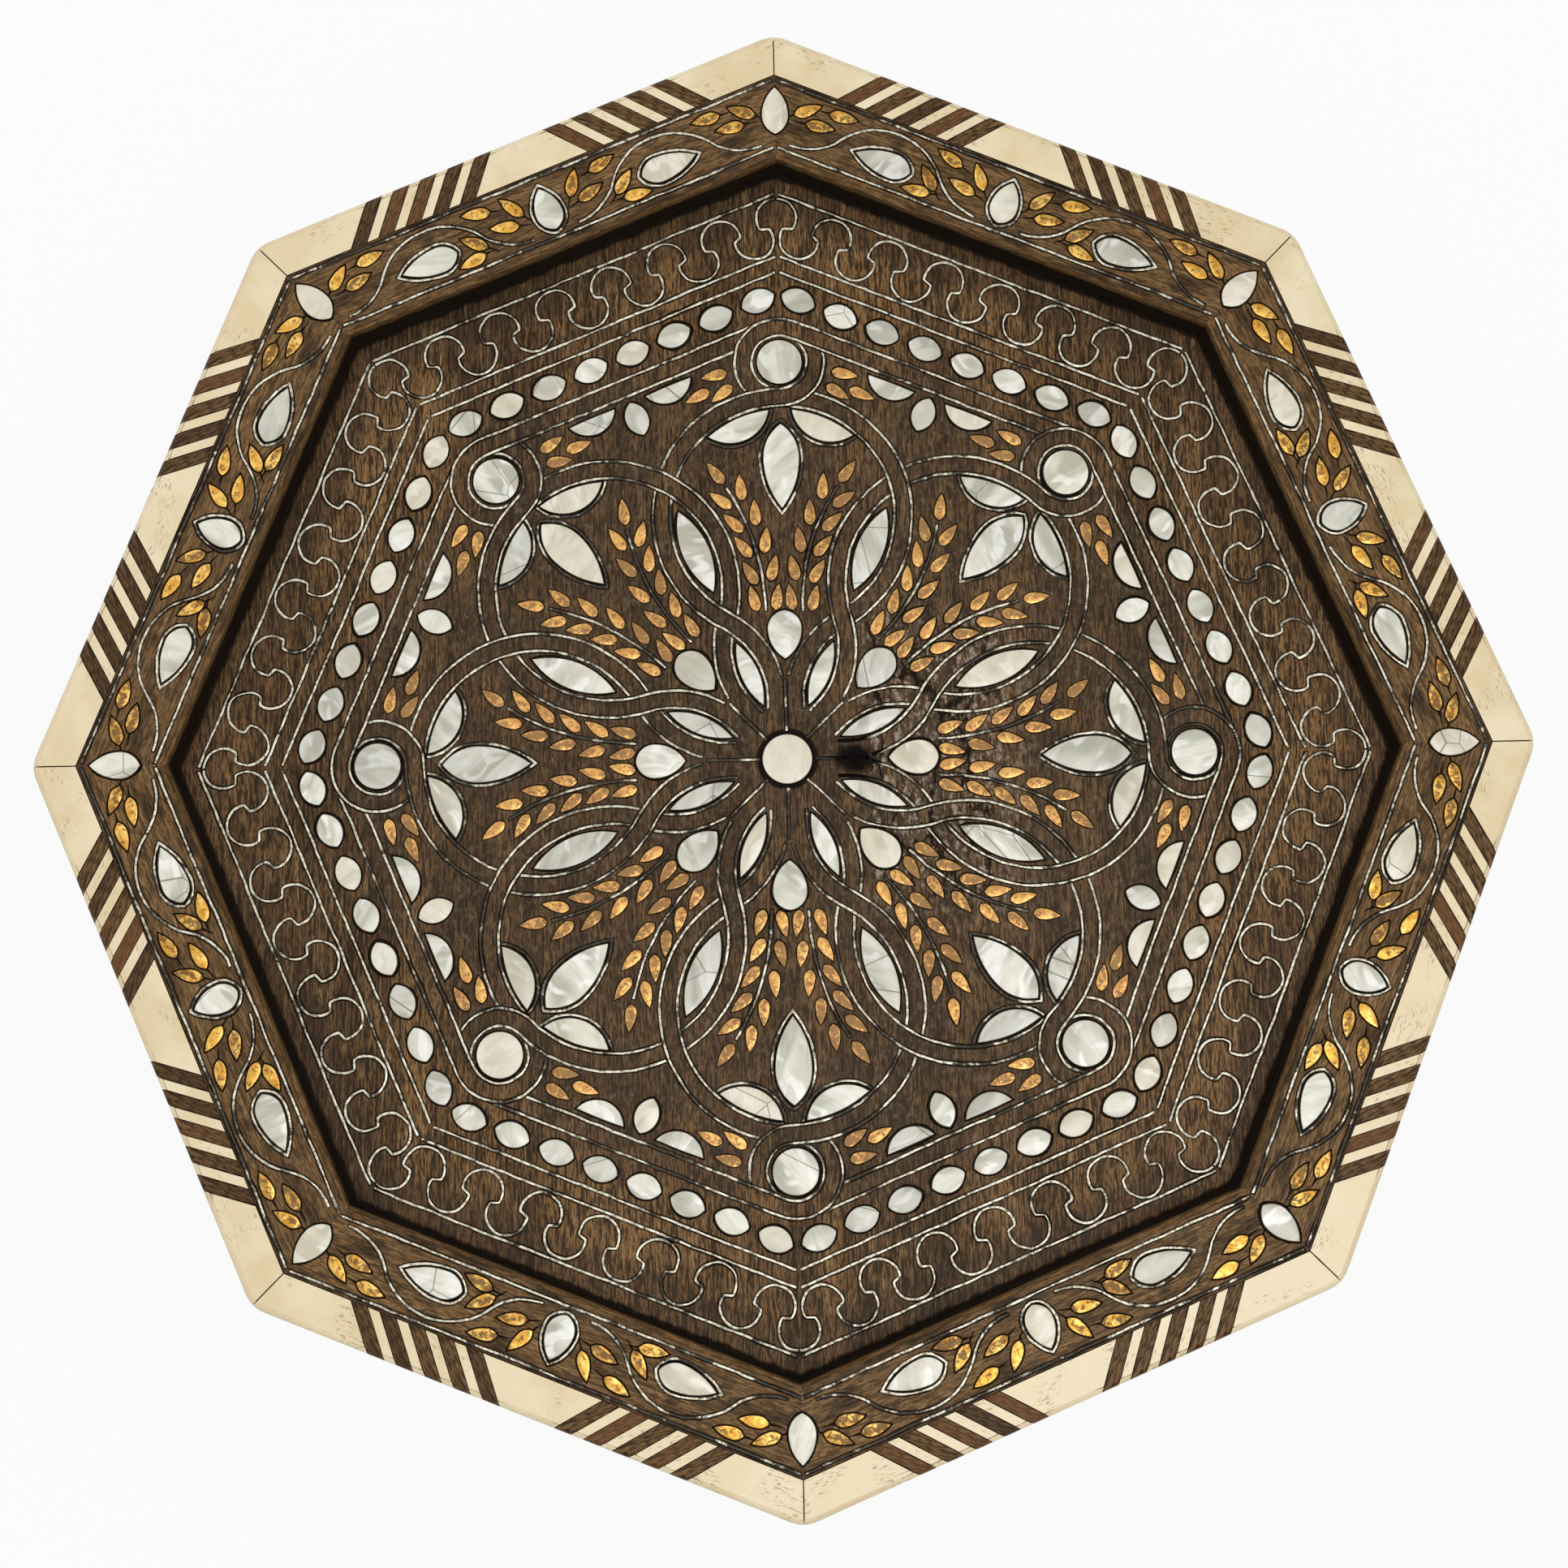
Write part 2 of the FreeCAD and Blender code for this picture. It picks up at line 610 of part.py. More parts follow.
def vine_wire(sign, curl):
    """From the middle drop outwards: a bend, and a bow round the big drop that curls in or bends back."""
    steps = [(VINE_BEND, sign * VINE_TURN), (VINE_BOW, -sign * (curl if curl else 2 * VINE_TURN))]
    if not curl:
        steps.append((VINE_BEND, sign * VINE_TURN))
    return walk((sign * VINE_START[0], VINE_START[1]), 0 if sign > 0 else 180, steps)


def vine(board, pearl_node, leaf_node, wire_node, curl=0.0):
    """The middle drop, and on either side five leaves, a big drop and the wire that swings round it."""
    board.outlined(pearl_node, wire_node, shaped(MIDDLE_DROP), (0, MIDDLE_DROP_AT, 90))
    for sign in (1, -1):
        drop_at = (sign * BIG_DROP_AT[0], BIG_DROP_AT[1], 90 - sign * 90)
        board.outlined(pearl_node, wire_node, shaped(BIG_DROP), drop_at)
        board.wire_in(wire_node, vine_wire(sign, curl))
        for x, y, heading in VINE_LEAVES:
            hx, hy, hh = by_hand(x, y, heading)
            board.shape_in(leaf_node, shaped(BORDER_LEAF), (sign * hx, hy, hh if sign > 0 else 180 - hh))


# Base, walls and their linings.

base = octagon_prism(wall_apothem + BASE_OVERHANG, 0, BASE_THICKNESS)
rim = [e for e in base.Edges if abs(e.CenterOfMass.z - BASE_THICKNESS) < 0.01]
base = base.makeFillet(BASE_EDGE_RADIUS, rim)
wall_foot = BASE_THICKNESS - WALL_HOUSING
housing = octagon_prism(wall_apothem + GLUE_CLEARANCE, wall_foot, BASE_THICKNESS + 1)
housing = housing.cut(octagon_prism(wall_inner - GLUE_CLEARANCE, wall_foot, BASE_THICKNESS + 1))
nodes["base_board"] = [base.cut(housing)]

wall_top = SEAM_HEIGHT - SEAM_GAP / 2
lid_side_bottom = SEAM_HEIGHT + SEAM_GAP / 2
wall_width = 2 * wall_apothem * TAN_HALF
wall_face = wall_top - BASE_THICKNESS
wall_scale = min(wall_width / WALL_VINE_DRAWN, wall_face / WALL_HEIGHT_DRAWN)

wall_ornament = Board(wall_scale)
straight_link, straight_rise = wave_steps(WALL_WAVE_PITCH)
for row in (-WALL_WAVE_ROW, WALL_WAVE_ROW):
    start = (-WALL_WAVE_UNITS / 2 * WALL_WAVE_PITCH, row + straight_rise)
    path = wave_path(start, 0, WAVE_CAP_HALF_TURN, WAVE_CAP_HALF_TURN, straight_link, WALL_WAVE_UNITS)
    wall_ornament.wire_in("wall_tin_wires", path)
    for away in (-WALL_LINE_FROM_WAVE, WALL_LINE_FROM_WAVE):
        line = walk((-WALL_LINE_HALF, row + away), 0, [(2 * WALL_LINE_HALF,)])
        wall_ornament.wire_in("wall_tin_wires", line)
wall_vine = Board(wall_scale * WALL_VINE_ENLARGED)
vine(wall_vine, "wall_pearl_drops", "wall_brass_leaves", "wall_tin_wires", WALL_VINE_CURL)
wall_frame = FreeCAD.Placement(
    Vector(0, wall_apothem, BASE_THICKNESS + wall_face / 2),
    FreeCAD.Rotation(Vector(-1, 0, 0), Vector(0, 0, 1), Vector(0, 1, 0), "XYZ"),
)


def on_wall(shape):
    result = shape.copy()
    result.Placement = wall_frame.multiply(result.Placement)
    return result


spline_radius = (wall_apothem - WALL_THICKNESS / 2) / COS_HALF


def spline_block(width, thickness, low, high):
    block = Part.makeBox(width, thickness, high - low, Vector(spline_radius - width / 2, -thickness / 2, low))
    return block


wall = mitred_strip(wall_inner, wall_apothem, wall_foot, wall_top)
slot_top = BASE_THICKNESS + SPLINE_HEIGHT + GLUE_CLEARANCE
slot_width = SPLINE_WIDTH + 2 * GLUE_CLEARANCE
slot_thickness = SPLINE_THICKNESS + 2 * GLUE_CLEARANCE
slot = spline_block(slot_width, slot_thickness, wall_foot - 1, slot_top)
wall_cuts = [on_wall(p) for p in wall_ornament.pockets + wall_vine.pockets]
wall = wall.cut([turned(slot, 67.5), turned(slot, 112.5)])
wall = wall.cut(wall_cuts)
spline = spline_block(SPLINE_WIDTH, SPLINE_THICKNESS, wall_foot, BASE_THICKNESS + SPLINE_HEIGHT)
nodes["wall_splines"] = [turned(spline, 22.5 + 45 * k) for k in range(SIDES)]
for k, name in enumerate(SIDE_NAMES):
    nodes["wall_" + name] = [turned(wall, 45 * k)]
for board in (wall_ornament, wall_vine):
    for node, solids in board.pieces.items():
        placed = [on_wall(solid) for solid in solids]
        for k in range(SIDES):
            nodes.setdefault(node, []).extend(turned(solid, 45 * k) for solid in placed)

lining_inner = wall_inner - WALL_LINING_THICKNESS
lining_top = wall_top - LINING_BELOW_SEAM
wall_lining = mitred_strip(lining_inner, wall_inner, BASE_THICKNESS, lining_top)
nodes["wall_lining"] = [turned(wall_lining, 45 * k) for k in range(SIDES)]
floor_top = BASE_THICKNESS + FLOOR_LINING_THICKNESS
nodes["floor_lining"] = [octagon_prism(lining_inner, BASE_THICKNESS, floor_top)]

# Lid: board, sides and lining.

lid_board = octagon_prism(lid_apothem - LID_BOARD_INSET, lid_board_bottom, field_height)
groove_top = lid_board_bottom + LID_SIDE_HOUSING
lid_groove = octagon_prism(wall_apothem + GLUE_CLEARANCE, lid_board_bottom - 1, groove_top)
lid_groove = lid_groove.cut(octagon_prism(wall_inner - GLUE_CLEARANCE, lid_board_bottom - 1, groove_top))
lid_board = lid_board.cut(lid_groove)
nodes["lid_board"] = [lid_board.cut([moved(p, 0, 0, field_height) for p in field.pockets])]
for node, solids in field.pieces.items():
    nodes[node] = [moved(solid, 0, 0, field_height) for solid in solids]
lid_side = mitred_strip(wall_inner, wall_apothem, lid_side_bottom, groove_top)
for k, name in enumerate(SIDE_NAMES):
    nodes["lid_side_" + name] = [turned(lid_side, 45 * k)]
lid_lining_bottom = lid_board_bottom - LID_LINING_THICKNESS
nodes["lid_lining"] = [octagon_prism(wall_inner - GLUE_CLEARANCE, lid_lining_bottom, lid_board_bottom)]

# Raised border: eight mitred rails with a rounded inner edge, and the bone edging in their rebate.

envelope = octagon_prism(lid_apothem, field_height - 1, lid_top)
uprights = [e for e in envelope.Edges if abs(e.CenterOfMass.z - lid_top) > 1 and e.BoundBox.ZLength > 1]
envelope = envelope.makeFillet(EDGE_CORNER_RADIUS, uprights)
top_edges = [e for e in envelope.Edges if e.BoundBox.ZMin > lid_top - 0.01]
envelope = envelope.makeFillet(EDGE_TOP_RADIUS, top_edges)

rebate_floor = lid_top - BONE_DEPTH
foot = Vector(0, field_apothem, field_height)
knee = Vector(0, field_apothem + RAIL_SLOPE_WIDTH, lid_top - RAIL_ROUND_DEPTH)
brow = Vector(0, rail_flat_inner, lid_top)
bend = Vector(0, knee.y + RAIL_ROUND_WIDTH * 0.32, lid_top - RAIL_ROUND_DEPTH * 0.3)
outline = [
    brow,
    Vector(0, rail_flat_outer, lid_top),
    Vector(0, rail_flat_outer, rebate_floor),
    Vector(0, lid_apothem, rebate_floor),
    Vector(0, lid_apothem, field_height),
    foot,
    knee,
]
profile = Part.Wire([Part.makePolygon(outline), Part.Arc(knee, bend, brow).toShape()])
reach = lid_apothem * TAN_HALF + 5
blank = moved(Part.Face(profile), -reach, 0).extrude(Vector(2 * reach, 0, 0))
past = lid_apothem * 1.1
wedge = polygon([(0, 0), (past * TAN_HALF, past), (-past * TAN_HALF, past)])
wedge = wedge.extrude(UP * (lid_top + 1))
blank = blank.common(wedge).common(envelope)

flat_middle = (rail_flat_inner + rail_flat_outer) / 2
flat_half = (rail_flat_outer - rail_flat_inner) / 2
side_scale = 2 * flat_middle * TAN_HALF / VINE_SIDE_DRAWN
vine_scale = min(2 * flat_half / VINE_FLAT_DRAWN, side_scale)
corner_reach = flat_middle / COS_HALF
corner_board = Board(vine_scale)
corner_board.shape_in("pearl_border_drops", shaped(CORNER_DROP), (0, CORNER_DROP_SHIFT, 90), PEARL_PROUD)
corner_solid = corner_board.pieces["pearl_border_drops"][0]
for k, name in enumerate(SIDE_NAMES):
    border = Board(vine_scale)
    vine(border, "pearl_border_drops", "brass_border_leaves", "tin_border_wires")
    for sign in (1, -1):
        for x, y, heading in CORNER_LEAVES:
            hx, hy, hh = by_hand(x, y, heading)
            across = flat_middle * TAN_HALF / vine_scale
            spot = (sign * (across - hx), hy, 180 - hh if sign > 0 else hh)
            border.shape_in("brass_border_leaves", shaped(BORDER_LEAF), spot)
    drawn_half = flat_half / vine_scale
    for away in (drawn_half - border.pen(OUTER_LINE_INSET), border.pen(INNER_LINE_INSET) - drawn_half):
        run = (flat_middle / vine_scale + away) * TAN_HALF - LINE_CORNER_GAP
        border.wire_in("tin_border_wires", walk((-run, away), 0, [(2 * run,)]))
    cuts = [moved(p, 0, flat_middle, lid_top) for p in border.pockets]
    for axis in (67.5, 112.5):
        cuts.append(turned(moved(corner_board.pockets[0], 0, corner_reach, lid_top), axis - 90))
    nodes["lid_rail_" + name] = [turned(blank.cut(cuts), 45 * k)]
    for node, solids in border.pieces.items():
        nodes.setdefault(node, []).extend(turned(moved(s, 0, flat_middle, lid_top), 45 * k) for s in solids)
    nodes["pearl_border_drops"].append(turned(moved(corner_solid, 0, corner_reach, lid_top), 22.5 + 45 * k))

joint = BONE_JOINT / 2
bone_inner = rail_flat_outer + joint


def edging(outer_from, outer_to, mitre):
    """One slanted piece of the edging, on the +Y side; its inner edge lies further from the side's middle."""
    inner_from = outer_from + BONE_SLANT
    inner_to = outer_to + BONE_SLANT
    if mitre:
        outer_to = lid_apothem * TAN_HALF - joint / COS_HALF
        inner_to = bone_inner * TAN_HALF - joint / COS_HALF
    outer = [(outer_from, lid_apothem), (outer_to, lid_apothem)]
    plan = outer + [(inner_to, bone_inner), (inner_from, bone_inner)]
    return polygon(plan, rebate_floor).extrude(UP * BONE_DEPTH).common(envelope)


half_edge = []
at = BONE_CENTRE_HALF
for stripe in range(2 * WHITE_STRIPES + 1):
    dark = stripe % 2 == 0
    wide = DARK_STRIPE if dark else WHITE_STRIPE
    stripe = edging(at + joint, at + wide - joint, False)
    half_edge.append(("walnut_stripes" if dark else "bone_stripes", stripe))
    at += wide
half_edge.append(("bone_corners", edging(at + joint, at, True)))
centre_in = BONE_CENTRE_HALF + BONE_SLANT - joint
centre_out = BONE_CENTRE_HALF - joint
centre_plan = [(-centre_out, lid_apothem), (centre_out, lid_apothem)]
centre_plan += [(centre_in, bone_inner), (-centre_in, bone_inner)]
centre_block = polygon(centre_plan, rebate_floor).extrude(UP * BONE_DEPTH).common(envelope)
nodes["bone_centres"] = [turned(centre_block, 45 * k) for k in range(SIDES)]
for node, solid in half_edge:
    twin = solid.mirror(ORIGIN, Vector(1, 0, 0))
    for k in range(SIDES):
        nodes.setdefault(node, []).extend([turned(solid, 45 * k), turned(twin, 45 * k)])

# Hinges in the back seam. The back edges of wall and lid are bevelled away from the pin, so the lid opens
# until the bevels meet, a little past upright.

HINGE_AXIS = Vector(1, 0, 0)
bevel_out = HINGE_SETBACK + 2
bevel_rise = bevel_out * math.tan(math.radians(STOP_ANGLE))


def bevel(way):
    plan = [
        Vector(-reach, hinge_y, SEAM_HEIGHT),
        Vector(-reach, hinge_y + bevel_out, SEAM_HEIGHT),
        Vector(-reach, hinge_y + bevel_out, SEAM_HEIGHT + way * bevel_rise),
    ]
    return Part.Face(Part.makePolygon(plan + plan[:1])).extrude(HINGE_AXIS * (2 * reach))


def along_x(radius, x, length):
    return Part.makeCylinder(radius, length, Vector(x, hinge_y, SEAM_HEIGHT), HINGE_AXIS)


def hinge_plate(middle, length, way, grow):
    """The flat of a leaf, or its mortise, below (-1) or above (+1) the seam."""
    low = SEAM_GAP / 2
    high = low + HINGE_LEAF_THICKNESS + grow
    bottom = SEAM_HEIGHT + (low if way > 0 else -high)
    width = HINGE_LEAF_WIDTH + grow
    corner = Vector(middle - length / 2 - grow, hinge_y - width, bottom - (grow if way > 0 else 0))
    return Part.makeBox(length + 2 * grow, width, high - low + grow, corner)


barrel_length = (HINGE_LENGTH - 2 * BARREL_GAP) / 3
BARRELS = {
    -1: (-HINGE_LENGTH / 2, HINGE_LENGTH / 2 - barrel_length),
    1: (-barrel_length / 2,),
}
screw_y = hinge_y - (HINGE_LEAF_WIDTH + BARREL_RADIUS + BARREL_CLEARANCE) / 2


def screw(middle, x, way, grow):
    """Countersunk screw, head flush with the leaf, its point away from the seam."""
    head = Vector(middle + x, screw_y, SEAM_HEIGHT + way * SEAM_GAP / 2)
    away = UP * way
    cone = Part.makeCone(SCREW_HEAD_RADIUS + grow, SCREW_RADIUS + grow, HINGE_LEAF_THICKNESS, head, away)
    shank_at = head + away * HINGE_LEAF_THICKNESS
    shank = Part.makeCylinder(SCREW_RADIUS + grow, SCREW_LENGTH + grow, shank_at, away)
    return cone.fuse(shank).removeSplitter()


hosts = {-1: "wall_back", 1: "lid_side_back"}
owners = {-1: "box", 1: "lid"}
for way in (-1, 1):
    for neighbour in (hosts[way] + "_left", hosts[way] + "_right"):
        nodes[neighbour] = [nodes[neighbour][0].cut(bevel(way))]
    host = nodes[hosts[way]][0].cut(bevel(way))
    for label, middle in (("left", HINGE_SPREAD), ("right", -HINGE_SPREAD)):
        plate = hinge_plate(middle, HINGE_LENGTH, way, 0.0)
        clear = along_x(BARREL_RADIUS + BARREL_CLEARANCE, middle - HINGE_LENGTH / 2 - 1, HINGE_LENGTH + 2)
        leaf_solid = plate.cut(clear)
        for x in BARRELS[way]:
            strip_low = SEAM_HEIGHT + (SEAM_GAP / 2 if way > 0 else -SEAM_GAP / 2 - HINGE_LEAF_THICKNESS)
            strip_at = Vector(middle + x, hinge_y - BARREL_RADIUS - 1, strip_low)
            strip = Part.makeBox(barrel_length, BARREL_RADIUS + 1, HINGE_LEAF_THICKNESS, strip_at)
            leaf_solid = leaf_solid.fuse([strip, along_x(BARREL_RADIUS, middle + x, barrel_length)])
        bore = along_x(PIN_RADIUS + PIN_CLEARANCE, middle - HINGE_LENGTH, 2 * HINGE_LENGTH)
        leaf_solid = leaf_solid.cut(bore)
        host = host.cut([hinge_plate(middle, HINGE_LENGTH, way, GLUE_CLEARANCE), clear])
        for x in (-SCREW_SPACING / 2, SCREW_SPACING / 2):
            hole = screw(middle, x, way, SCREW_CLEARANCE)
            leaf_solid = leaf_solid.cut(hole)
            host = host.cut(hole)
            nodes.setdefault("hinge_screws_" + owners[way], []).append(screw(middle, x, way, 0.0))
        nodes["hinge_%s_%s_leaf" % (label, owners[way])] = [leaf_solid.removeSplitter()]
        nodes["hinge_%s_pin" % label] = [along_x(PIN_RADIUS, middle - HINGE_LENGTH / 2, HINGE_LENGTH)]
    nodes[hosts[way]] = [host]

os.makedirs("parts", exist_ok=True)
for node, solids in nodes.items():
    shape = solids[0] if len(solids) == 1 else Part.makeCompound(solids)
    shape.exportStep("parts/%s.step" % node)
    print(node, len(shape.Solids), round(shape.Volume, 2), shape.isValid())
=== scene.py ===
import math
import random

import bmesh
import bpy
from mathutils import Euler, Matrix, Vector, noise


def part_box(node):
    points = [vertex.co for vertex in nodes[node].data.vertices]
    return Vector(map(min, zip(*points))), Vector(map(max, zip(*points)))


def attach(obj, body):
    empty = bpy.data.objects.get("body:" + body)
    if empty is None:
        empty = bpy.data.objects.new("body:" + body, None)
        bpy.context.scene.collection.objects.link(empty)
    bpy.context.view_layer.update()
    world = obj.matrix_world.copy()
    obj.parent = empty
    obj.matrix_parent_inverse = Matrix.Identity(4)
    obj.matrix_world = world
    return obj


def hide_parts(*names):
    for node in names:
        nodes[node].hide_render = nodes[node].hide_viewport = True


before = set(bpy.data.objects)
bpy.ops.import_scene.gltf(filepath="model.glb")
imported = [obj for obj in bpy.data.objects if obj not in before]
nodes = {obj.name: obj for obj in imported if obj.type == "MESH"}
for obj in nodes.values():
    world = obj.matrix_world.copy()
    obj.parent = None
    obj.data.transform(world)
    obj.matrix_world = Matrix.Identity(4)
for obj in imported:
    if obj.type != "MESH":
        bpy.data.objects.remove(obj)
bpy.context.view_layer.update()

# The carcase: eight mitred walnut walls housed in a walnut base, with loose splines in the mitres.
# Old rubbed walnut with open pores; the grain runs round the box, and the recesses for the inlay are
# lined with black mastic.
SIDES = ("back", "back_left", "left", "front_left", "front", "front_right", "right", "back_right")
WALL_FACE = 0.121
WALL_SHOWS = (0.0092, 0.0696)
FIELD_FACE = 0.091
RAIL_TOP = 0.098
RAIL_FLAT = (0.1037, 0.11745)
RAIL_POCKETS = (0.0965, 0.09797)
RAIL_BEVEL = (0.101, 0.1035)
PAINTED_SHADE_UP_TO = (0.0962, 0.0972)
RAIL_RIM = (0.1174, 0.1187)
POCKET_DEPTH = 0.0014
FACE_SKIN = 0.00003
PORE_DEPTH = 0.00012
WAXED_SHINE = 0.12
MASTIC_DULL = (0.7, 0.7, 0.7, 1.0)
SHADE_AND_DAMAGE_DULL = (0.85, 0.85, 0.85, 1.0)


def tint(red, green, blue):
    """A colour as it looks on a screen, 0 to 255, as the light values that a shader takes."""
    shares = (red, green, blue)
    return tuple(((c / 255 + 0.055) / 1.055) ** 2.4 if c > 10 else c / 3294.6 for c in shares) + (1.0,)


def feed(tree, socket, value):
    if isinstance(value, bpy.types.NodeSocket):
        tree.links.new(value, socket)
    else:
        socket.default_value = value


def sums(tree, operation, first, second=0.0, third=0.0):
    made = tree.nodes.new("ShaderNodeMath")
    made.operation = operation
    for socket, value in zip(made.inputs, (first, second, third)):
        feed(tree, socket, value)
    return made.outputs[0]


def blend(tree, share, first, second, way="MIX"):
    made = tree.nodes.new("ShaderNodeMix")
    made.data_type = "RGBA"
    made.blend_type = way
    feed(tree, made.inputs[0], share)
    feed(tree, made.inputs[6], first)
    feed(tree, made.inputs[7], second)
    return made.outputs[2]


def ramp(tree, value, low, high, bottom=0.0, top=1.0):
    made = tree.nodes.new("ShaderNodeMapRange")
    made.interpolation_type = "SMOOTHSTEP"
    for socket, given in zip(made.inputs, (value, low, high, bottom, top)):
        feed(tree, socket, given)
    return made.outputs[0]


def cloudy(tree, place, sizes, detail=2.0, rough=0.55, shift=(0.0, 0.0, 0.0), warp=0.0):
    """Noise whose lumps are as long, wide and deep as the given sizes, in metres."""
    stretch = tree.nodes.new("ShaderNodeMapping")
    feed(tree, stretch.inputs["Vector"], place)
    feed(tree, stretch.inputs["Location"], shift)
    stretch.inputs["Scale"].default_value = [1 / size for size in sizes]
    made = tree.nodes.new("ShaderNodeTexNoise")
    feed(tree, made.inputs["Vector"], stretch.outputs[0])
    made.inputs["Scale"].default_value = 1.0
    made.inputs["Detail"].default_value = detail
    made.inputs["Roughness"].default_value = rough
    made.inputs["Distortion"].default_value = warp
    return made.outputs[0]


def turned_place(tree, turn):
    """The place on the piece in metres, with its first axis along the given heading."""
    where = tree.nodes.new("ShaderNodeTexCoord")
    lie = tree.nodes.new("ShaderNodeMapping")
    tree.links.new(where.outputs["Object"], lie.inputs["Vector"])
    lie.inputs["Rotation"].default_value = (0.0, 0.0, -turn)
    return lie.outputs[0]


def split(tree, vector):
    made = tree.nodes.new("ShaderNodeSeparateXYZ")
    tree.links.new(vector, made.inputs[0])
    return made.outputs


def between(tree, value, low, high):
    above = sums(tree, "GREATER_THAN", value, low)
    return sums(tree, "MULTIPLY", above, sums(tree, "LESS_THAN", value, high))


def raised(tree, shader, height, depth, strength=1.0):
    made = tree.nodes.new("ShaderNodeBump")
    made.inputs["Strength"].default_value = strength
    made.inputs["Distance"].default_value = depth
    feed(tree, made.inputs["Height"], height)
    tree.links.new(made.outputs[0], shader.inputs["Normal"])


def new_finish(name):
    material = bpy.data.materials.new(name)
    material.use_nodes = True
    return material, material.node_tree, material.node_tree.nodes["Principled BSDF"]


def walnut_wood(tree, place):
    """Colour, roughness and height of rubbed walnut whose grain runs along the place's first axis."""
    pores = ramp(tree, cloudy(tree, place, (0.0036, 0.00042, 0.00042), 2.0, 0.6), 0.5, 0.6)
    ticks = cloudy(tree, place, (0.0017, 0.00026, 0.00026), 1.0, 0.5, shift=(3.0, 1.0, 2.0))
    pores = sums(tree, "MAXIMUM", pores, ramp(tree, ticks, 0.53, 0.6, 0.0, 0.8))
    fibres = cloudy(tree, place, (0.014, 0.0008, 0.0008), 4.0, 0.7)
    rings = cloudy(tree, place, (0.15, 0.011, 0.011), 3.0, 0.55, warp=0.6)
    stain = cloudy(tree, place, (0.03, 0.02, 0.02), 3.0, 0.6)
    body = blend(tree, ramp(tree, rings, 0.35, 0.68), tint(90, 66, 38), tint(138, 103, 63))
    body = blend(tree, ramp(tree, fibres, 0.48, 0.74, 0.0, 0.75), body, tint(178, 142, 97))
    body = blend(tree, ramp(tree, stain, 0.5, 0.75, 0.0, 0.45), body, tint(60, 43, 24))
    body = blend(tree, sums(tree, "MULTIPLY", pores, 0.9), body, tint(31, 20, 9))
    height = sums(tree, "SUBTRACT", sums(tree, "MULTIPLY", fibres, 0.5), pores)
    rough = ramp(tree, fibres, 0.3, 0.7, 0.38, 0.5)
    return body, rough, height


def side_walnut(name, turn):
    """Walnut for one side of the box; below the face of the wall and of the lid's border it is mastic."""
    material, tree, shader = new_finish(name)
    place = turned_place(tree, turn)
    body, rough, height = walnut_wood(tree, place)
    body = blend(tree, 0.14, body, tint(156, 122, 80))
    along, out, up = split(tree, place)
    in_wall = between(tree, out, WALL_FACE - POCKET_DEPTH, WALL_FACE - FACE_SKIN)
    in_wall = sums(tree, "MULTIPLY", in_wall, between(tree, up, *WALL_SHOWS))
    in_rail = between(tree, up, *RAIL_POCKETS)
    in_rail = sums(tree, "MULTIPLY", between(tree, out, *RAIL_FLAT), in_rail)
    pocket = sums(tree, "MAXIMUM", in_wall, in_rail)
    crumbs = cloudy(tree, place, (0.004, 0.002, 0.002), 3.0, 0.6)
    high = sums(tree, "ADD", up, sums(tree, "MULTIPLY", crumbs, 0.0016))
    # Painted shade: the lower part of the border's inner slope is painted near black, for the shade at the
    # foot of the raised border.
    painted_foot_shade = sums(tree, "MULTIPLY", between(tree, out, *RAIL_BEVEL), ramp(tree, high, *PAINTED_SHADE_UP_TO, 0.95, 0.0))
    painted_foot_shade = sums(tree, "MULTIPLY", painted_foot_shade, sums(tree, "GREATER_THAN", up, FIELD_FACE - FACE_SKIN))
    smears = cloudy(tree, place, (0.013, 0.007, 0.007), 4.0, 0.62, shift=(4.0, 2.0, 7.0))
    outer = sums(tree, "ADD", out, sums(tree, "MULTIPLY", crumbs, 0.002))
    grime = ramp(tree, smears, 0.5, 0.64, 0.0, 0.72)
    grime = sums(tree, "MAXIMUM", grime, ramp(tree, outer, *RAIL_RIM, 0.0, 0.85))
    grime = sums(tree, "MULTIPLY", grime, sums(tree, "GREATER_THAN", up, RAIL_TOP - 0.0002))
    body = blend(tree, grime, body, tint(30, 20, 11))
    body = blend(tree, painted_foot_shade, body, tint(17, 11, 5))
    rough = blend(tree, painted_foot_shade, rough, SHADE_AND_DAMAGE_DULL)
    feed(tree, shader.inputs["Base Color"], blend(tree, pocket, body, tint(20, 14, 9)))
    feed(tree, shader.inputs["Roughness"], blend(tree, pocket, rough, MASTIC_DULL))
    shader.inputs["Specular IOR Level"].default_value = WAXED_SHINE
    raised(tree, shader, height, PORE_DEPTH, 0.6)
    return material


def finish_node(name, material):
    nodes[name].data.materials.clear()
    nodes[name].data.materials.append(material)


side_finish = {side: side_walnut("walnut_" + side, k * math.pi / 4) for k, side in enumerate(SIDES)}
for side in SIDES:
    finish_node("wall_" + side, side_finish[side])
finish_node("base_board", side_finish["front"])
finish_node("wall_splines", side_finish["back"])

# The lid: one walnut board with its grain from front right to back left, on eight mitred sides, and eight
# mitred rails glued on top as a raised border with a rounded inner edge.
BOARD_HEADING = math.radians(112.5)
MEDALLION_END = (0.0715, 0.0847)
STRIP_FROM = (0.0932, 0.0957)
PAINTED_SHADE_FROM = (0.1019, 0.1026)
BEDDING_END = (0.0058, 0.0062)
INLAY_WITHIN = 0.1075
GOUGE_AT = -0.0124
GOUGE_SIZE = (0.0031, 0.0044)
SCUFF_AND_SHEEN_FROM = (-0.012, -0.016)
SCUFF_AND_SHEEN_TO = (-0.05, -0.034)
SCUFF_AND_SHEEN_HALF = (0.02, 0.034)


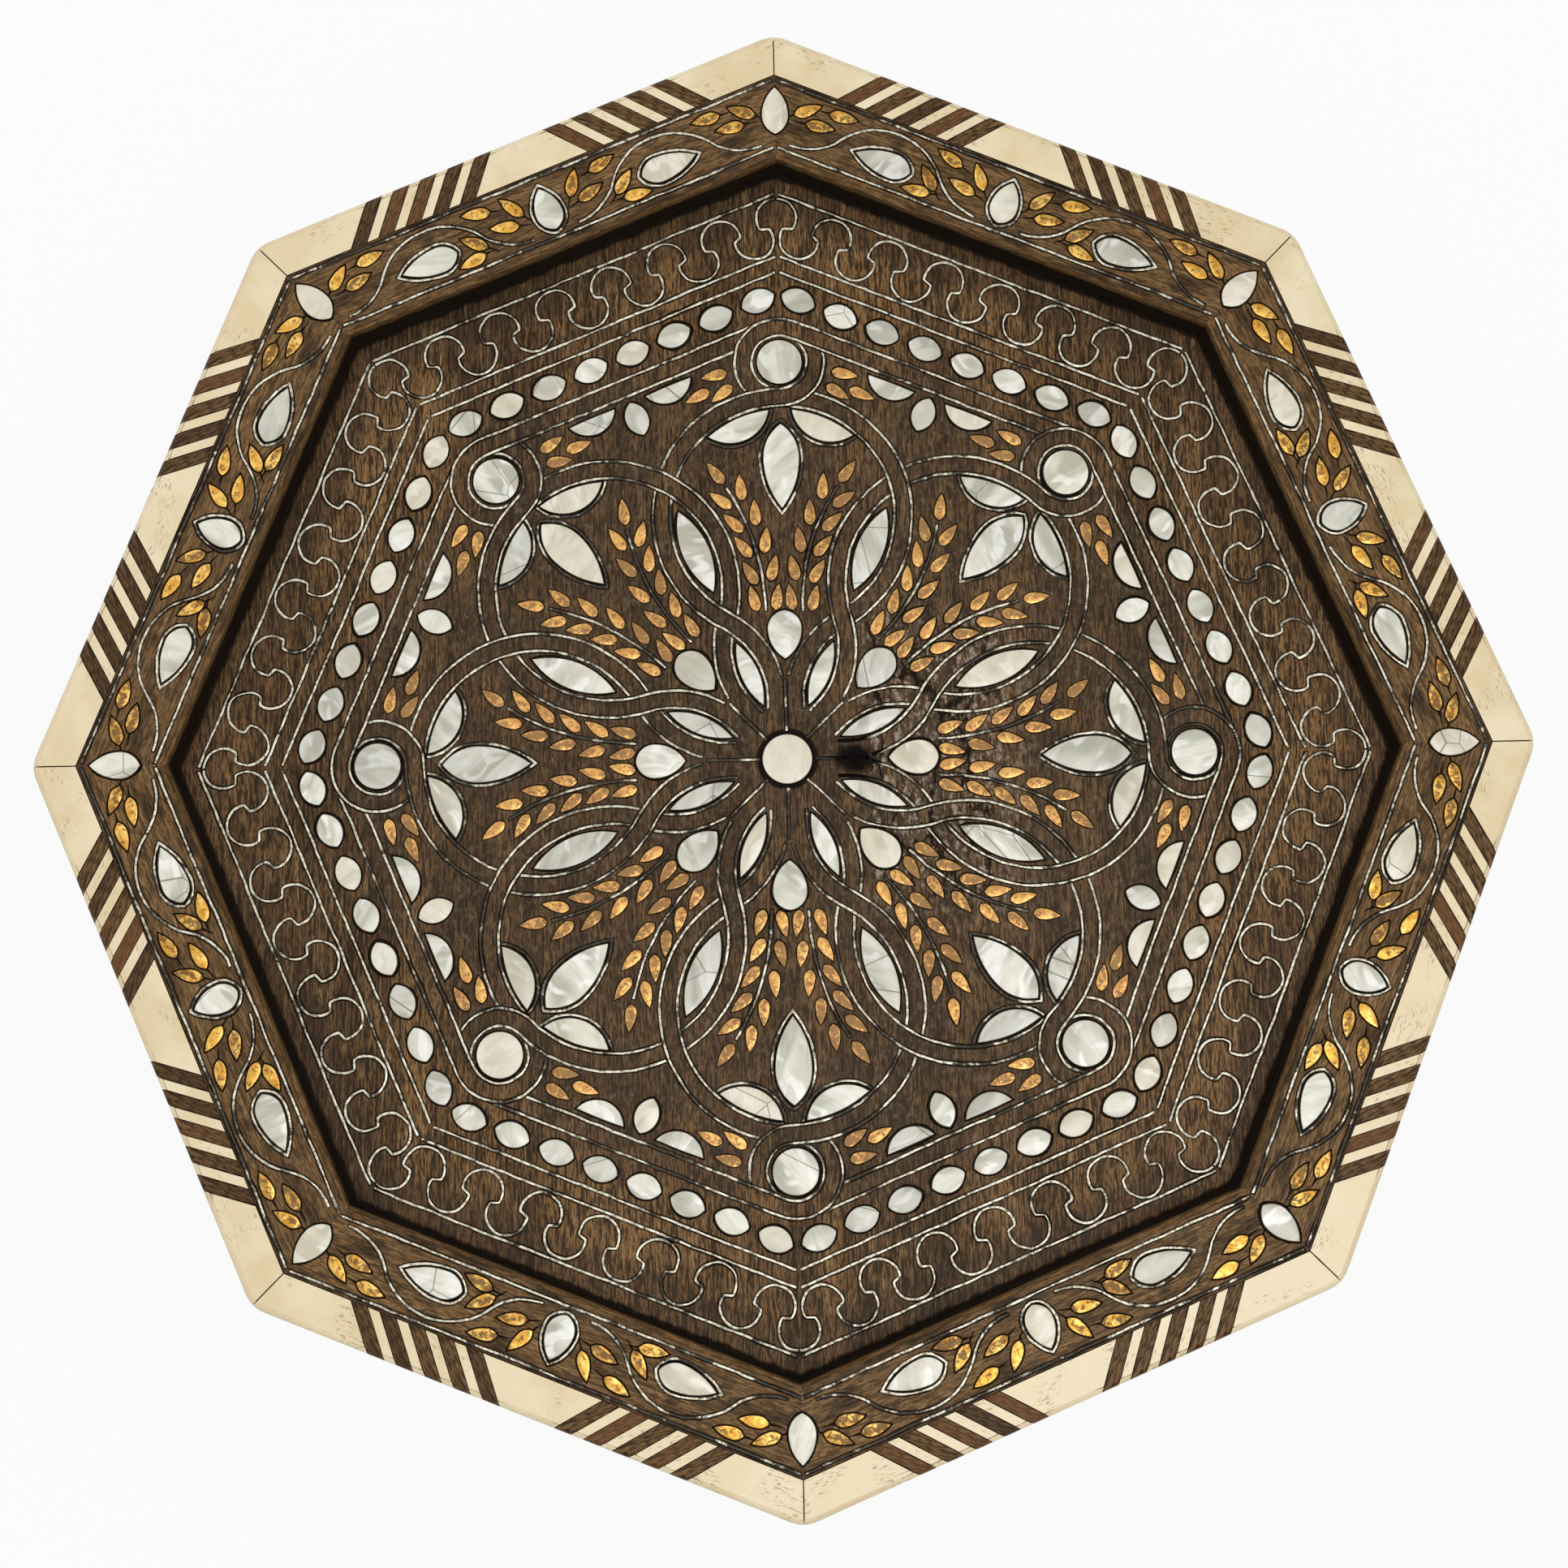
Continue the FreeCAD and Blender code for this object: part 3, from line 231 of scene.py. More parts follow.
def from_middle(tree):
    """How far out a place is towards the nearest side of the lid."""
    x, y, z = [sums(tree, "ABSOLUTE", part) for part in split(tree, turned_place(tree, 0.0))]
    slant = sums(tree, "MULTIPLY", sums(tree, "ADD", x, y), math.sqrt(0.5))
    return sums(tree, "MAXIMUM", sums(tree, "MAXIMUM", x, y), slant)


def sum_of_squares(tree, first, second):
    return sums(tree, "ADD", sums(tree, "POWER", first, 2.0), sums(tree, "POWER", second, 2.0))


board_finish, tree, shader = new_finish("walnut_field")
place = turned_place(tree, BOARD_HEADING)
body, rough, height = walnut_wood(tree, place)
along, across, up = split(tree, place)
away = sums(tree, "SQRT", sum_of_squares(tree, along, across))
handled = cloudy(tree, place, (0.009, 0.007, 0.007), 4.0, 0.65)
rubbed = ramp(tree, away, *MEDALLION_END, 1.0, 0.12)
rubbed = sums(tree, "MULTIPLY", rubbed, ramp(tree, handled, 0.3, 0.62, 0.35, 1.0))
body = blend(tree, sums(tree, "MULTIPLY", rubbed, 0.66), body, tint(55, 43, 32))
# Partly painted sheen: pale grey mottling in the rubbed middle is partly dust and partly a painted sheen.
dust_and_sheen = cloudy(tree, place, (0.0016, 0.0012, 0.0012), 4.0, 0.7, shift=(6.0, 1.0, 3.0))
dust_and_sheen = ramp(tree, dust_and_sheen, 0.5, 0.7, 0.0, 0.34)
body = blend(tree, sums(tree, "MULTIPLY", rubbed, dust_and_sheen), body, tint(150, 132, 112))

# The field is darker in a strip along the border, and the near-black band at the border's foot is painted
# shade;
# soot and wax lie round the centre disc. To the right of it the wood is gouged, scuffed and split, and the
# scuffs carry painted sheen.
apothem = from_middle(tree)
crumbs = cloudy(tree, place, (0.004, 0.003, 0.003), 3.0, 0.6)
on_face = sums(tree, "GREATER_THAN", up, FIELD_FACE - 0.00005)
edge_strip = sums(tree, "MULTIPLY", on_face, ramp(tree, apothem, *STRIP_FROM, 0.0, 0.4))
body = blend(tree, edge_strip, body, tint(52, 38, 29))
# Painted shade: a near-black band on the field along the foot of the border, joined below with the dark
# bedding ring round the centre disc.
painted_shade_and_bedding = sums(tree, "MULTIPLY_ADD", crumbs, 0.0016, apothem)
painted_shade_and_bedding = ramp(tree, painted_shade_and_bedding, *PAINTED_SHADE_FROM, 0.0, 0.94)
bedding = sums(tree, "MULTIPLY_ADD", crumbs, 0.0008, away)
bedding = ramp(tree, bedding, *BEDDING_END, 0.94, 0.0)
painted_shade_and_bedding = sums(tree, "MULTIPLY", on_face, sums(tree, "MAXIMUM", painted_shade_and_bedding, bedding))
body = blend(tree, painted_shade_and_bedding, body, tint(19, 12, 8))
aside = sums(tree, "SUBTRACT", across, GOUGE_AT)
shares = (sums(tree, "DIVIDE", along, GOUGE_SIZE[0]), sums(tree, "DIVIDE", aside, GOUGE_SIZE[1]))
gouge = sums(tree, "MULTIPLY_ADD", crumbs, 1.4, sum_of_squares(tree, *shares))
gouge = ramp(tree, gouge, 1.0, 2.0, 1.0, 0.0)
right = sums(tree, "MULTIPLY", ramp(tree, across, *SCUFF_AND_SHEEN_FROM), ramp(tree, across, *SCUFF_AND_SHEEN_TO))
right = sums(tree, "MULTIPLY", right, ramp(tree, sums(tree, "ABSOLUTE", along), *SCUFF_AND_SHEEN_HALF, 1.0, 0.0))
# Partly painted sheen: the pale mottled patch right of the centre is scuffed, worn wood and also a painted
# sheen on it.
scuff_and_sheen = ramp(tree, cloudy(tree, place, (0.0024, 0.0014, 0.0014), 4.0, 0.75), 0.5, 0.64)
scuff_and_sheen = sums(tree, "MULTIPLY", right, scuff_and_sheen)
body = blend(tree, sums(tree, "MULTIPLY", scuff_and_sheen, 0.85), body, tint(176, 158, 140))
shakes = tree.nodes.new("ShaderNodeTexVoronoi")
shakes.feature = "DISTANCE_TO_EDGE"
bent = tree.nodes.new("ShaderNodeVectorMath")
bent.operation = "MULTIPLY_ADD"
tree.links.new(place, bent.inputs[0])
bent.inputs[1].default_value = (42.0, 95.0, 1.0)
feed(tree, bent.inputs[2], sums(tree, "MULTIPLY", handled, 0.9))
tree.links.new(bent.outputs[0], shakes.inputs["Vector"])
shakes.inputs["Scale"].default_value = 1.0
shake = sums(tree, "MULTIPLY", ramp(tree, shakes.outputs["Distance"], 0.012, 0.04, 1.0, 0.0), right)
damage = sums(tree, "MAXIMUM", gouge, sums(tree, "MULTIPLY", shake, 0.85))
body = blend(tree, damage, body, tint(10, 6, 3))
rough = blend(tree, sums(tree, "MAXIMUM", painted_shade_and_bedding, damage), rough, SHADE_AND_DAMAGE_DULL)
height = sums(tree, "SUBTRACT", height, sums(tree, "MULTIPLY", damage, 5.0))
pocket = sums(tree, "LESS_THAN", up, FIELD_FACE - FACE_SKIN)
pocket = sums(tree, "MULTIPLY", pocket, sums(tree, "LESS_THAN", away, INLAY_WITHIN))
feed(tree, shader.inputs["Base Color"], blend(tree, pocket, body, tint(20, 14, 9)))
feed(tree, shader.inputs["Roughness"], blend(tree, pocket, rough, MASTIC_DULL))
shader.inputs["Specular IOR Level"].default_value = WAXED_SHINE
raised(tree, shader, height, PORE_DEPTH, 0.6)
finish_node("lid_board", board_finish)
for side in SIDES:
    finish_node("lid_side_" + side, side_finish[side])
    finish_node("lid_rail_" + side, side_finish[side])

# The pearl: flat pieces of shell sawn to shape, bedded in dark mastic and rubbed down almost flush.
# Each has its own drift of growth lines, some have cracked, and the edges are worn round.
PEARL_EDGE = 0.00022
CRACKS_PER_METRE = 105.0
CRACK_WIDTH = 0.013
CRACKED_ABOVE = 0.84
PEARL_NODES = (
    "pearl_discs",
    "pearl_inner_drops",
    "pearl_lenses",
    "pearl_fleurs",
    "pearl_half_petals",
    "pearl_border_drops",
    "wall_pearl_drops",
)


def outward_at(point, on_wall):
    """The way that the inlaid face looks: up on the lid, straight out of the nearest side on the walls."""
    if not on_wall:
        return Vector((0.0, 0.0, 1.0))
    step = math.pi / 4
    turn = round((math.atan2(point.y, point.x) - math.pi / 2) / step) * step + math.pi / 2
    return Vector((math.cos(turn), math.sin(turn), 0.0))


def loosened(node):
    """A copy of a node's mesh with its triangles joined up, ready to be worked on."""
    bm = bmesh.new()
    bm.from_mesh(nodes[node].data)
    bmesh.ops.remove_doubles(bm, verts=bm.verts, dist=2e-6)
    bmesh.ops.dissolve_limit(bm, angle_limit=0.012, verts=bm.verts, edges=bm.edges)
    return bm


def separate_pieces(bm):
    """The vertices of each separate piece, in the order in which the pieces were inlaid."""
    bm.verts.ensure_lookup_table()
    seen = set()
    found = []
    for start in bm.verts:
        if start in seen:
            continue
        seen.add(start)
        piece = [start]
        for vert in piece:
            for edge in vert.link_edges:
                other = edge.other_vert(vert)
                if other not in seen:
                    seen.add(other)
                    piece.append(other)
        found.append(piece)
    return found


def lie_of(points, on_wall):
    """A piece's own axes: along it from its round end to its point, across it, and out of the face."""
    middle = sum(points, Vector()) / len(points)
    out = outward_at(middle, on_wall)
    flat = [p - out * (p - middle).dot(out) for p in points]
    one = max(flat, key=lambda p: (p - middle).length)
    two = max(flat, key=lambda p: (p - one).length)
    centre = (one + two) / 2
    along = (one - two).normalized()
    if (middle - centre).dot(along) > 0:
        along = -along
    face = max(p.dot(out) for p in points)
    centre += out * (face - centre.dot(out))
    across = out.cross(along)
    return Matrix((along, across, out)).transposed().to_4x4(), centre


def mark_pieces(bm, on_wall, seed):
    """Gives every vertex its piece's own shade and its place on that piece."""
    shade = bm.verts.layers.float.new("piece_shade")
    spot = bm.verts.layers.float_vector.new("piece_spot")
    chance = random.Random(seed)
    for piece in separate_pieces(bm):
        axes, centre = lie_of([v.co for v in piece], on_wall)
        back = axes.transposed()
        value = chance.random()
        for vert in piece:
            vert[shade] = value
            vert[spot] = back @ (vert.co - centre)


def looks_out(face, on_wall):
    return face.normal.dot(outward_at(face.calc_center_median(), on_wall)) > 0.99


def ease_edges(bm, width, on_wall, steps=((0.35, 0.7), (0.65, 0.18))):
    """Rounds the rim of every inlaid face by drawing in inner lines and lowering the rim."""
    tops = [f for f in bm.faces if looks_out(f, on_wall)]
    for share, drop in steps:
        inset = bmesh.ops.inset_region(
            bm, faces=tops, thickness=width * share, use_even_offset=True, use_boundary=True
        )
        ring = inset["faces"]
        inner = {v for f in tops for v in f.verts}
        for vert in {v for f in ring for v in f.verts} - inner:
            vert.co -= outward_at(vert.co, on_wall) * width * drop


def to_object(name, bm, material):
    mesh = bpy.data.meshes.new(name)
    bm.to_mesh(mesh)
    bm.free()
    mesh.polygons.foreach_set("use_smooth", [True] * len(mesh.polygons))
    mesh.materials.append(material)
    made = bpy.data.objects.new(name, mesh)
    bpy.context.scene.collection.objects.link(made)
    return made


def stand_in(made, node, body):
    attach(made, body)
    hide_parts(node)


def read(tree, name, kind):
    made = tree.nodes.new("ShaderNodeAttribute")
    made.attribute_name = name
    return made.outputs[kind]


def nacre(name):
    material, tree, shader = new_finish(name)
    shade = read(tree, "piece_shade", "Fac")
    spot = read(tree, "piece_spot", "Vector")
    spin = tree.nodes.new("ShaderNodeVectorRotate")
    spin.rotation_type = "Z_AXIS"
    tree.links.new(spot, spin.inputs["Vector"])
    feed(tree, spin.inputs["Angle"], sums(tree, "MULTIPLY", shade, 37.0))
    where = tree.nodes.new("ShaderNodeVectorMath")
    tree.links.new(spin.outputs[0], where.inputs[0])
    apart = tree.nodes.new("ShaderNodeCombineXYZ")
    for socket in apart.inputs:
        feed(tree, socket, sums(tree, "MULTIPLY", shade, 1.7))
    tree.links.new(apart.outputs[0], where.inputs[1])
    place = where.outputs[0]
    growth = cloudy(tree, place, (0.014, 0.0036, 0.005), 2.0, 0.5, warp=0.5)
    lines = cloudy(tree, place, (0.009, 0.0005, 0.002), 2.0, 0.6)
    sheen = cloudy(tree, place, (0.0056, 0.0032, 0.004), 1.0, 0.4, warp=1.0)
    hue = cloudy(tree, place, (0.005, 0.003, 0.004), 1.0, 0.4, shift=(5.0, 2.0, 1.0), warp=1.5)
    body = blend(tree, ramp(tree, growth, 0.36, 0.64), tint(192, 190, 172), tint(240, 237, 220))
    body = blend(tree, ramp(tree, sheen, 0.52, 0.66, 0.0, 0.95), body, tint(254, 252, 243))
    body = blend(tree, ramp(tree, lines, 0.48, 0.72, 0.0, 0.18), body, tint(158, 155, 137))
    body = blend(tree, ramp(tree, hue, 0.56, 0.7, 0.0, 0.3), body, tint(224, 204, 186))
    body = blend(tree, ramp(tree, hue, 0.42, 0.3, 0.0, 0.25), body, tint(186, 200, 188))
    warm = sums(tree, "FRACT", sums(tree, "MULTIPLY", shade, 7.3))
    grey = sums(tree, "FRACT", sums(tree, "MULTIPLY", shade, 11.9))
    body = blend(tree, ramp(tree, warm, 0.7, 0.85, 0.0, 0.45), body, tint(230, 216, 186))
    body = blend(tree, ramp(tree, grey, 0.55, 0.9, 0.0, 0.38), body, tint(168, 168, 156))
    split_lines = tree.nodes.new("ShaderNodeTexVoronoi")
    split_lines.feature = "DISTANCE_TO_EDGE"
    tree.links.new(place, split_lines.inputs["Vector"])
    split_lines.inputs["Scale"].default_value = CRACKS_PER_METRE
    drawn = sums(tree, "FRACT", sums(tree, "MULTIPLY", shade, 13.0))
    cracked = sums(tree, "GREATER_THAN", drawn, CRACKED_ABOVE)
    crack = ramp(tree, split_lines.outputs["Distance"], 0.0, CRACK_WIDTH, 1.0, 0.0)
    crack = sums(tree, "MULTIPLY", crack, cracked)
    body = blend(tree, sums(tree, "MULTIPLY", crack, 0.75), body, tint(84, 70, 50))
    feed(tree, shader.inputs["Base Color"], body)
    feed(tree, shader.inputs["Roughness"], ramp(tree, growth, 0.3, 0.7, 0.22, 0.36))
    raised(tree, shader, sums(tree, "SUBTRACT", growth, sums(tree, "MULTIPLY", crack, 2.0)), 0.00006, 0.5)
    return material


pearl = nacre("pearl")
for seed, node in enumerate(PEARL_NODES):
    on_wall = node.startswith("wall")
    bm = loosened(node)
    ease_edges(bm, PEARL_EDGE, on_wall)
    mark_pieces(bm, on_wall, seed + 1)
    stand_in(to_object(node + "_shell", bm, pearl), node, "box" if on_wall else "lid")

# The row of pearl seeds: sixty-four pointed ovals of the same shell, eight to a side, each set in its own
# recess. One seed is finished and then laid out at every seed's place.


def laid_tree():
    """Sets one finished piece at every place, turns it as the place says and gives each its own shade."""
    tree = bpy.data.node_groups.new("laid_pieces", "GeometryNodeTree")
    sockets = {}
    kinds = (("Places", "Geometry"), ("Piece", "Object"), ("Seed", "Int"), ("Finish", "Material"))
    for label, kind in kinds:
        sockets[label] = tree.interface.new_socket(label, in_out="INPUT", socket_type="NodeSocket" + kind)
    tree.interface.new_socket("Pieces", in_out="OUTPUT", socket_type="NodeSocketGeometry")
    given = tree.nodes.new("NodeGroupInput")
    piece = tree.nodes.new("GeometryNodeObjectInfo")
    turn = tree.nodes.new("GeometryNodeInputNamedAttribute")
    turn.data_type = "FLOAT_VECTOR"
    turn.inputs["Name"].default_value = "turn"
    lay = tree.nodes.new("GeometryNodeInstanceOnPoints")
    chance = tree.nodes.new("FunctionNodeRandomValue")
    mark = tree.nodes.new("GeometryNodeStoreNamedAttribute")
    mark.domain = "INSTANCE"
    mark.inputs["Name"].default_value = "piece_shade"
    solid = tree.nodes.new("GeometryNodeRealizeInstances")
    coat = tree.nodes.new("GeometryNodeSetMaterial")
    done = tree.nodes.new("NodeGroupOutput")
    seed_socket = [s for s in chance.inputs if s.name == "Seed"][0]
    chance_value = [s for s in chance.outputs if s.type == "VALUE"][0]
    turn_value = [s for s in turn.outputs if s.enabled][0]
    for start, end in (
        (given.outputs["Places"], lay.inputs["Points"]),
        (given.outputs["Piece"], piece.inputs["Object"]),
        (piece.outputs["Geometry"], lay.inputs["Instance"]),
        (turn_value, lay.inputs["Rotation"]),
        (given.outputs["Seed"], seed_socket),
        (lay.outputs["Instances"], mark.inputs["Geometry"]),
        (chance_value, mark.inputs["Value"]),
        (mark.outputs["Geometry"], solid.inputs["Geometry"]),
        (solid.outputs["Geometry"], coat.inputs["Geometry"]),
        (given.outputs["Finish"], coat.inputs["Material"]),
        (coat.outputs["Geometry"], done.inputs["Pieces"]),
    ):
        tree.links.new(start, end)
    return tree, sockets


lay_out, lay_inputs = laid_tree()


def lay_pieces(name, node, material, edge, seed, on_wall=False):
    """Finishes the first piece of a node and lays a copy of it at every piece's place."""
    bm = loosened(node)
    lies = [lie_of([v.co for v in piece], on_wall) for piece in separate_pieces(bm)]
    first = set(separate_pieces(bm)[0])
    bmesh.ops.delete(bm, geom=[v for v in bm.verts if v not in first], context="VERTS")
    ease_edges(bm, edge, on_wall)
    axes, centre = lies[0]
    bm.transform(axes.transposed() @ Matrix.Translation(-centre))
    spot = bm.verts.layers.float_vector.new("piece_spot")
    for vert in bm.verts:
        vert[spot] = vert.co
    one = to_object(name + "_one", bm, material)
    places = bpy.data.meshes.new(name)
    places.from_pydata([centre for axes, centre in lies], [], [])
    turns = places.attributes.new("turn", "FLOAT_VECTOR", "POINT")
    for k, (axes, centre) in enumerate(lies):
        turns.data[k].vector = axes.to_euler()
    made = bpy.data.objects.new(name, places)
    bpy.context.scene.collection.objects.link(made)
    laid = made.modifiers.new("lay", "NODES")
    laid.node_group = lay_out
    for label, value in (("Piece", one), ("Seed", seed), ("Finish", material)):
        laid[lay_inputs[label].identifier] = value
    bpy.context.view_layer.update()
    whole = bpy.data.meshes.new_from_object(made.evaluated_get(bpy.context.evaluated_depsgraph_get()))
    made.modifiers.clear()
    made.data = whole
    whole.name = name
    bpy.data.objects.remove(one)
    return made


seed_row = lay_pieces("pearl_seed_row", "pearl_seeds", pearl, PEARL_EDGE, 11)
stand_in(seed_row, "pearl_seeds", "lid")

# The leaves: sheet brass cut to leaf shape and pressed into the mastic, with the polish worn and browned
# unevenly. The sprays of the field have gone copper-brown; the border's leaves are still bright gold.
LEAF_EDGE = 0.00014


def leaf_brass(name, bright, body_tone, brown, browned):
    material, tree, shader = new_finish(name)
    shade = read(tree, "piece_shade", "Fac")
    spot = read(tree, "piece_spot", "Vector")
    where = turned_place(tree, 0.0)
    mottle = cloudy(tree, where, (0.0009, 0.0009, 0.0009), 4.0, 0.68, warp=0.8)
    beaten = cloudy(tree, where, (0.0017, 0.0017, 0.0017), 2.0, 0.5, shift=(3.0, 7.0, 1.0))
    along, across, out = split(tree, spot)
    middle = ramp(tree, sums(tree, "ABSOLUTE", across), 0.0003, 0.001, 1.0, 0.0)
    stain = sums(tree, "ADD", mottle, sums(tree, "MULTIPLY", middle, 0.14))
    stain = sums(tree, "ADD", stain, sums(tree, "MULTIPLY", sums(tree, "SUBTRACT", shade, 0.5), 0.22))
    dulled = ramp(tree, stain, browned, browned + 0.16)
    body = blend(tree, ramp(tree, beaten, 0.38, 0.66), body_tone, bright)
    body = blend(tree, sums(tree, "MULTIPLY", dulled, 0.85), body, brown)
    feed(tree, shader.inputs["Base Color"], body)
    feed(tree, shader.inputs["Metallic"], ramp(tree, dulled, 0.0, 1.0, 0.55, 0.2))
    feed(tree, shader.inputs["Roughness"], ramp(tree, stain, 0.3, 0.8, 0.3, 0.55))
    raised(tree, shader, sums(tree, "ADD", beaten, sums(tree, "MULTIPLY", mottle, 0.4)), 0.00016, 0.7)
    return material


gold_leaf = leaf_brass("brass_bright", tint(252, 206, 108), tint(222, 162, 58), tint(98, 60, 20), 0.56)
copper_leaf = leaf_brass("brass_browned", tint(236, 184, 104), tint(208, 152, 84), tint(142, 102, 54), 0.53)
sprays = lay_pieces("field_sprays", "brass_field_leaves", copper_leaf, LEAF_EDGE, 21)
stand_in(sprays, "brass_field_leaves", "lid")
vine_leaves = lay_pieces("border_leaves", "brass_border_leaves", gold_leaf, LEAF_EDGE, 22)
stand_in(vine_leaves, "brass_border_leaves", "lid")
wall_leaves = lay_pieces("wall_leaves", "wall_brass_leaves", gold_leaf, LEAF_EDGE, 23, True)
stand_in(wall_leaves, "wall_brass_leaves", "box")

# The wire: flat tin wire hammered on edge into sawn lines, so it wanders a little and its top is rounded.
# It is dull silver, and in places the tarnish of the mastic has covered it.
WIRE_EDGE = 0.00017
WIRE_WANDER = 0.00016
LID_WIRE_STEP = 0.0016
WALL_WIRE_STEP = 0.003
WANDER_SEED = 5
GOUGE_REACH = 0.0052
GOUGE_SUNK = 0.0013
GOUGE_DARK = (0.0042, 0.0056)
OUTER_WIRE = (0.1155, 0.1165)

noise.seed_set(WANDER_SEED)
gouge_middle = Matrix.Rotation(BOARD_HEADING, 3, "Z") @ Vector((0.0, GOUGE_AT, FIELD_FACE))


def tin_wire(name, lost_from, patch, outer_loss=0.0):
    """Dull tin; above the given level of a noise of patches it has dropped below the wax and gone dark."""
    material, tree, shader = new_finish(name)
    where = turned_place(tree, 0.0)
    dirt = cloudy(tree, where, (patch, patch, patch), 4.0, 0.7, warp=0.6)
    reach = cloudy(tree, where, (0.03, 0.03, 0.03), 2.0, 0.5, shift=(1.0, 5.0, 3.0))
    dirt = sums(tree, "ADD", sums(tree, "MULTIPLY", dirt, 0.7), sums(tree, "MULTIPLY", reach, 0.3))
    grain = cloudy(tree, where, (0.0009, 0.0009, 0.0009), 3.0, 0.65)
    dirt = sums(tree, "ADD", dirt, ramp(tree, from_middle(tree), *OUTER_WIRE, 0.0, outer_loss))
    lost = ramp(tree, dirt, lost_from, lost_from + 0.07)
    by_gouge = tree.nodes.new("ShaderNodeVectorMath")
    by_gouge.operation = "DISTANCE"
    tree.links.new(where, by_gouge.inputs[0])
    by_gouge.inputs[1].default_value = gouge_middle
    lost = sums(tree, "MAXIMUM", lost, ramp(tree, by_gouge.outputs["Value"], *GOUGE_DARK, 1.0, 0.0))
    body = blend(tree, ramp(tree, grain, 0.34, 0.6), tint(150, 139, 114), tint(240, 233, 212))
    body = blend(tree, sums(tree, "MULTIPLY", lost, 0.93), body, tint(40, 31, 22))
    rough = sums(tree, "MAXIMUM", ramp(tree, grain, 0.3, 0.7, 0.5, 0.34), sums(tree, "MULTIPLY", lost, 0.8))
    feed(tree, shader.inputs["Base Color"], body)
    feed(tree, shader.inputs["Metallic"], ramp(tree, lost, 0.0, 1.0, 0.3, 0.0))
    feed(tree, shader.inputs["Roughness"], rough)
    shader.inputs["Specular IOR Level"].default_value = 0.2
    raised(tree, shader, grain, 0.00008, 0.7)
    return material


tin = tin_wire("tin_wire", 0.535, 0.005)
tin_border = tin_wire("tin_wire_border", 0.5, 0.006, 0.06)
tin_sunk = tin_wire("tin_wire_sunk", 0.495, 0.008)
tin_stem = tin_wire("tin_wire_stems", 0.45, 0.008)


def wandered(point, on_wall, amount):
    """A point of a wire where the hand that set it let it stray; by the gouge it sinks in its groove."""
    drift = noise.noise_vector(point * 420.0) + noise.noise_vector(point * 110.0) * 0.8
    out = outward_at(point, on_wall)
    sunk = GOUGE_SUNK if (point - gouge_middle).length < GOUGE_REACH else 0.0
    return point + (drift - out * drift.dot(out)) * amount - out * sunk


def subdivide_long(bm, longest):
    for cuts in (16, 8, 4, 2, 1):
        edges = [e for e in bm.edges if e.calc_length() > longest * (cuts + 0.5)]
        if edges:
            bmesh.ops.subdivide_edges(bm, edges=edges, cuts=cuts)


wire_finish = {
    "tin_field_lines": tin,
    "tin_field_wave": tin,
    "tin_field_ribbons": tin_sunk,
    "tin_field_stems": tin_stem,
    "tin_border_wires": tin_border,
    "wall_tin_wires": tin,
}
for node, finish in wire_finish.items():
    on_wall = node.startswith("wall")
    bm = loosened(node)
    subdivide_long(bm, WALL_WIRE_STEP if on_wall else LID_WIRE_STEP)
    ease_edges(bm, WIRE_EDGE, on_wall, ((0.8, 0.6),) if on_wall else ((0.3, 0.6), (0.5, 0.2)))
    for vert in bm.verts:
        vert.co = wandered(vert.co, on_wall, WIRE_WANDER)
    stand_in(to_object(node + "_set", bm, finish), node, "box" if on_wall else "lid")

# The edging: slanted strips of bone and walnut glued in turn into a rebate round the lid, with longer bone
# blocks at the corners and in the middle of each side. The bone has fine brown canals along it, and its
# outer edge is rounded.
bone, tree, shader = new_finish("bone")
shade = read(tree, "piece_shade", "Fac")
spot = read(tree, "piece_spot", "Vector")
where = turned_place(tree, 0.0)
cream = cloudy(tree, where, (0.012, 0.012, 0.012), 3.0, 0.6)
canals = cloudy(tree, spot, (0.0017, 0.0003, 0.003), 2.0, 0.6)
patches = cloudy(tree, where, (0.009, 0.009, 0.009), 2.0, 0.5, shift=(2.0, 4.0, 6.0))
fleck = sums(tree, "MULTIPLY", ramp(tree, canals, 0.58, 0.64), ramp(tree, patches, 0.49, 0.62))
body = blend(tree, ramp(tree, cream, 0.34, 0.66), tint(232, 212, 168), tint(246, 231, 194))
body = blend(tree, ramp(tree, shade, 0.0, 1.0, 0.0, 0.35), body, tint(236, 214, 172))
body = blend(tree, sums(tree, "MULTIPLY", fleck, 0.65), body, tint(128, 94, 56))
feed(tree, shader.inputs["Base Color"], body)
feed(tree, shader.inputs["Roughness"], ramp(tree, cream, 0.3, 0.7, 0.28, 0.42))
raised(tree, shader, sums(tree, "SUBTRACT", cream, fleck), 0.00006, 0.5)

stripe_wood, tree, shader = new_finish("walnut_stripes")
shade = read(tree, "piece_shade", "Fac")
place = read(tree, "piece_spot", "Vector")
body, rough, height = walnut_wood(tree, place)
body = blend(tree, ramp(tree, shade, 0.0, 0.4, 0.5, 0.0), body, tint(52, 37, 24))
body = blend(tree, ramp(tree, shade, 0.55, 1.0, 0.0, 0.55), body, tint(120, 78, 48))
feed(tree, shader.inputs["Base Color"], body)
feed(tree, shader.inputs["Roughness"], rough)
shader.inputs["Specular IOR Level"].default_value = WAXED_SHINE
raised(tree, shader, height, PORE_DEPTH, 0.6)

edging = (
    ("bone_corners", bone, "bone"),
    ("bone_centres", bone, "bone"),
    ("bone_stripes", bone, "bone"),
    ("walnut_stripes", stripe_wood, "walnut_stripe"),
)
for seed, (node, finish, slot) in enumerate(edging):
    bm = loosened(node)
    mark_pieces(bm, False, seed + 41)
    edged = to_object(node + "_strip", bm, finish)
    stand_in(edged, node, "lid")
    edged.data.polygons.foreach_set("use_smooth", [False] * len(edged.data.polygons))

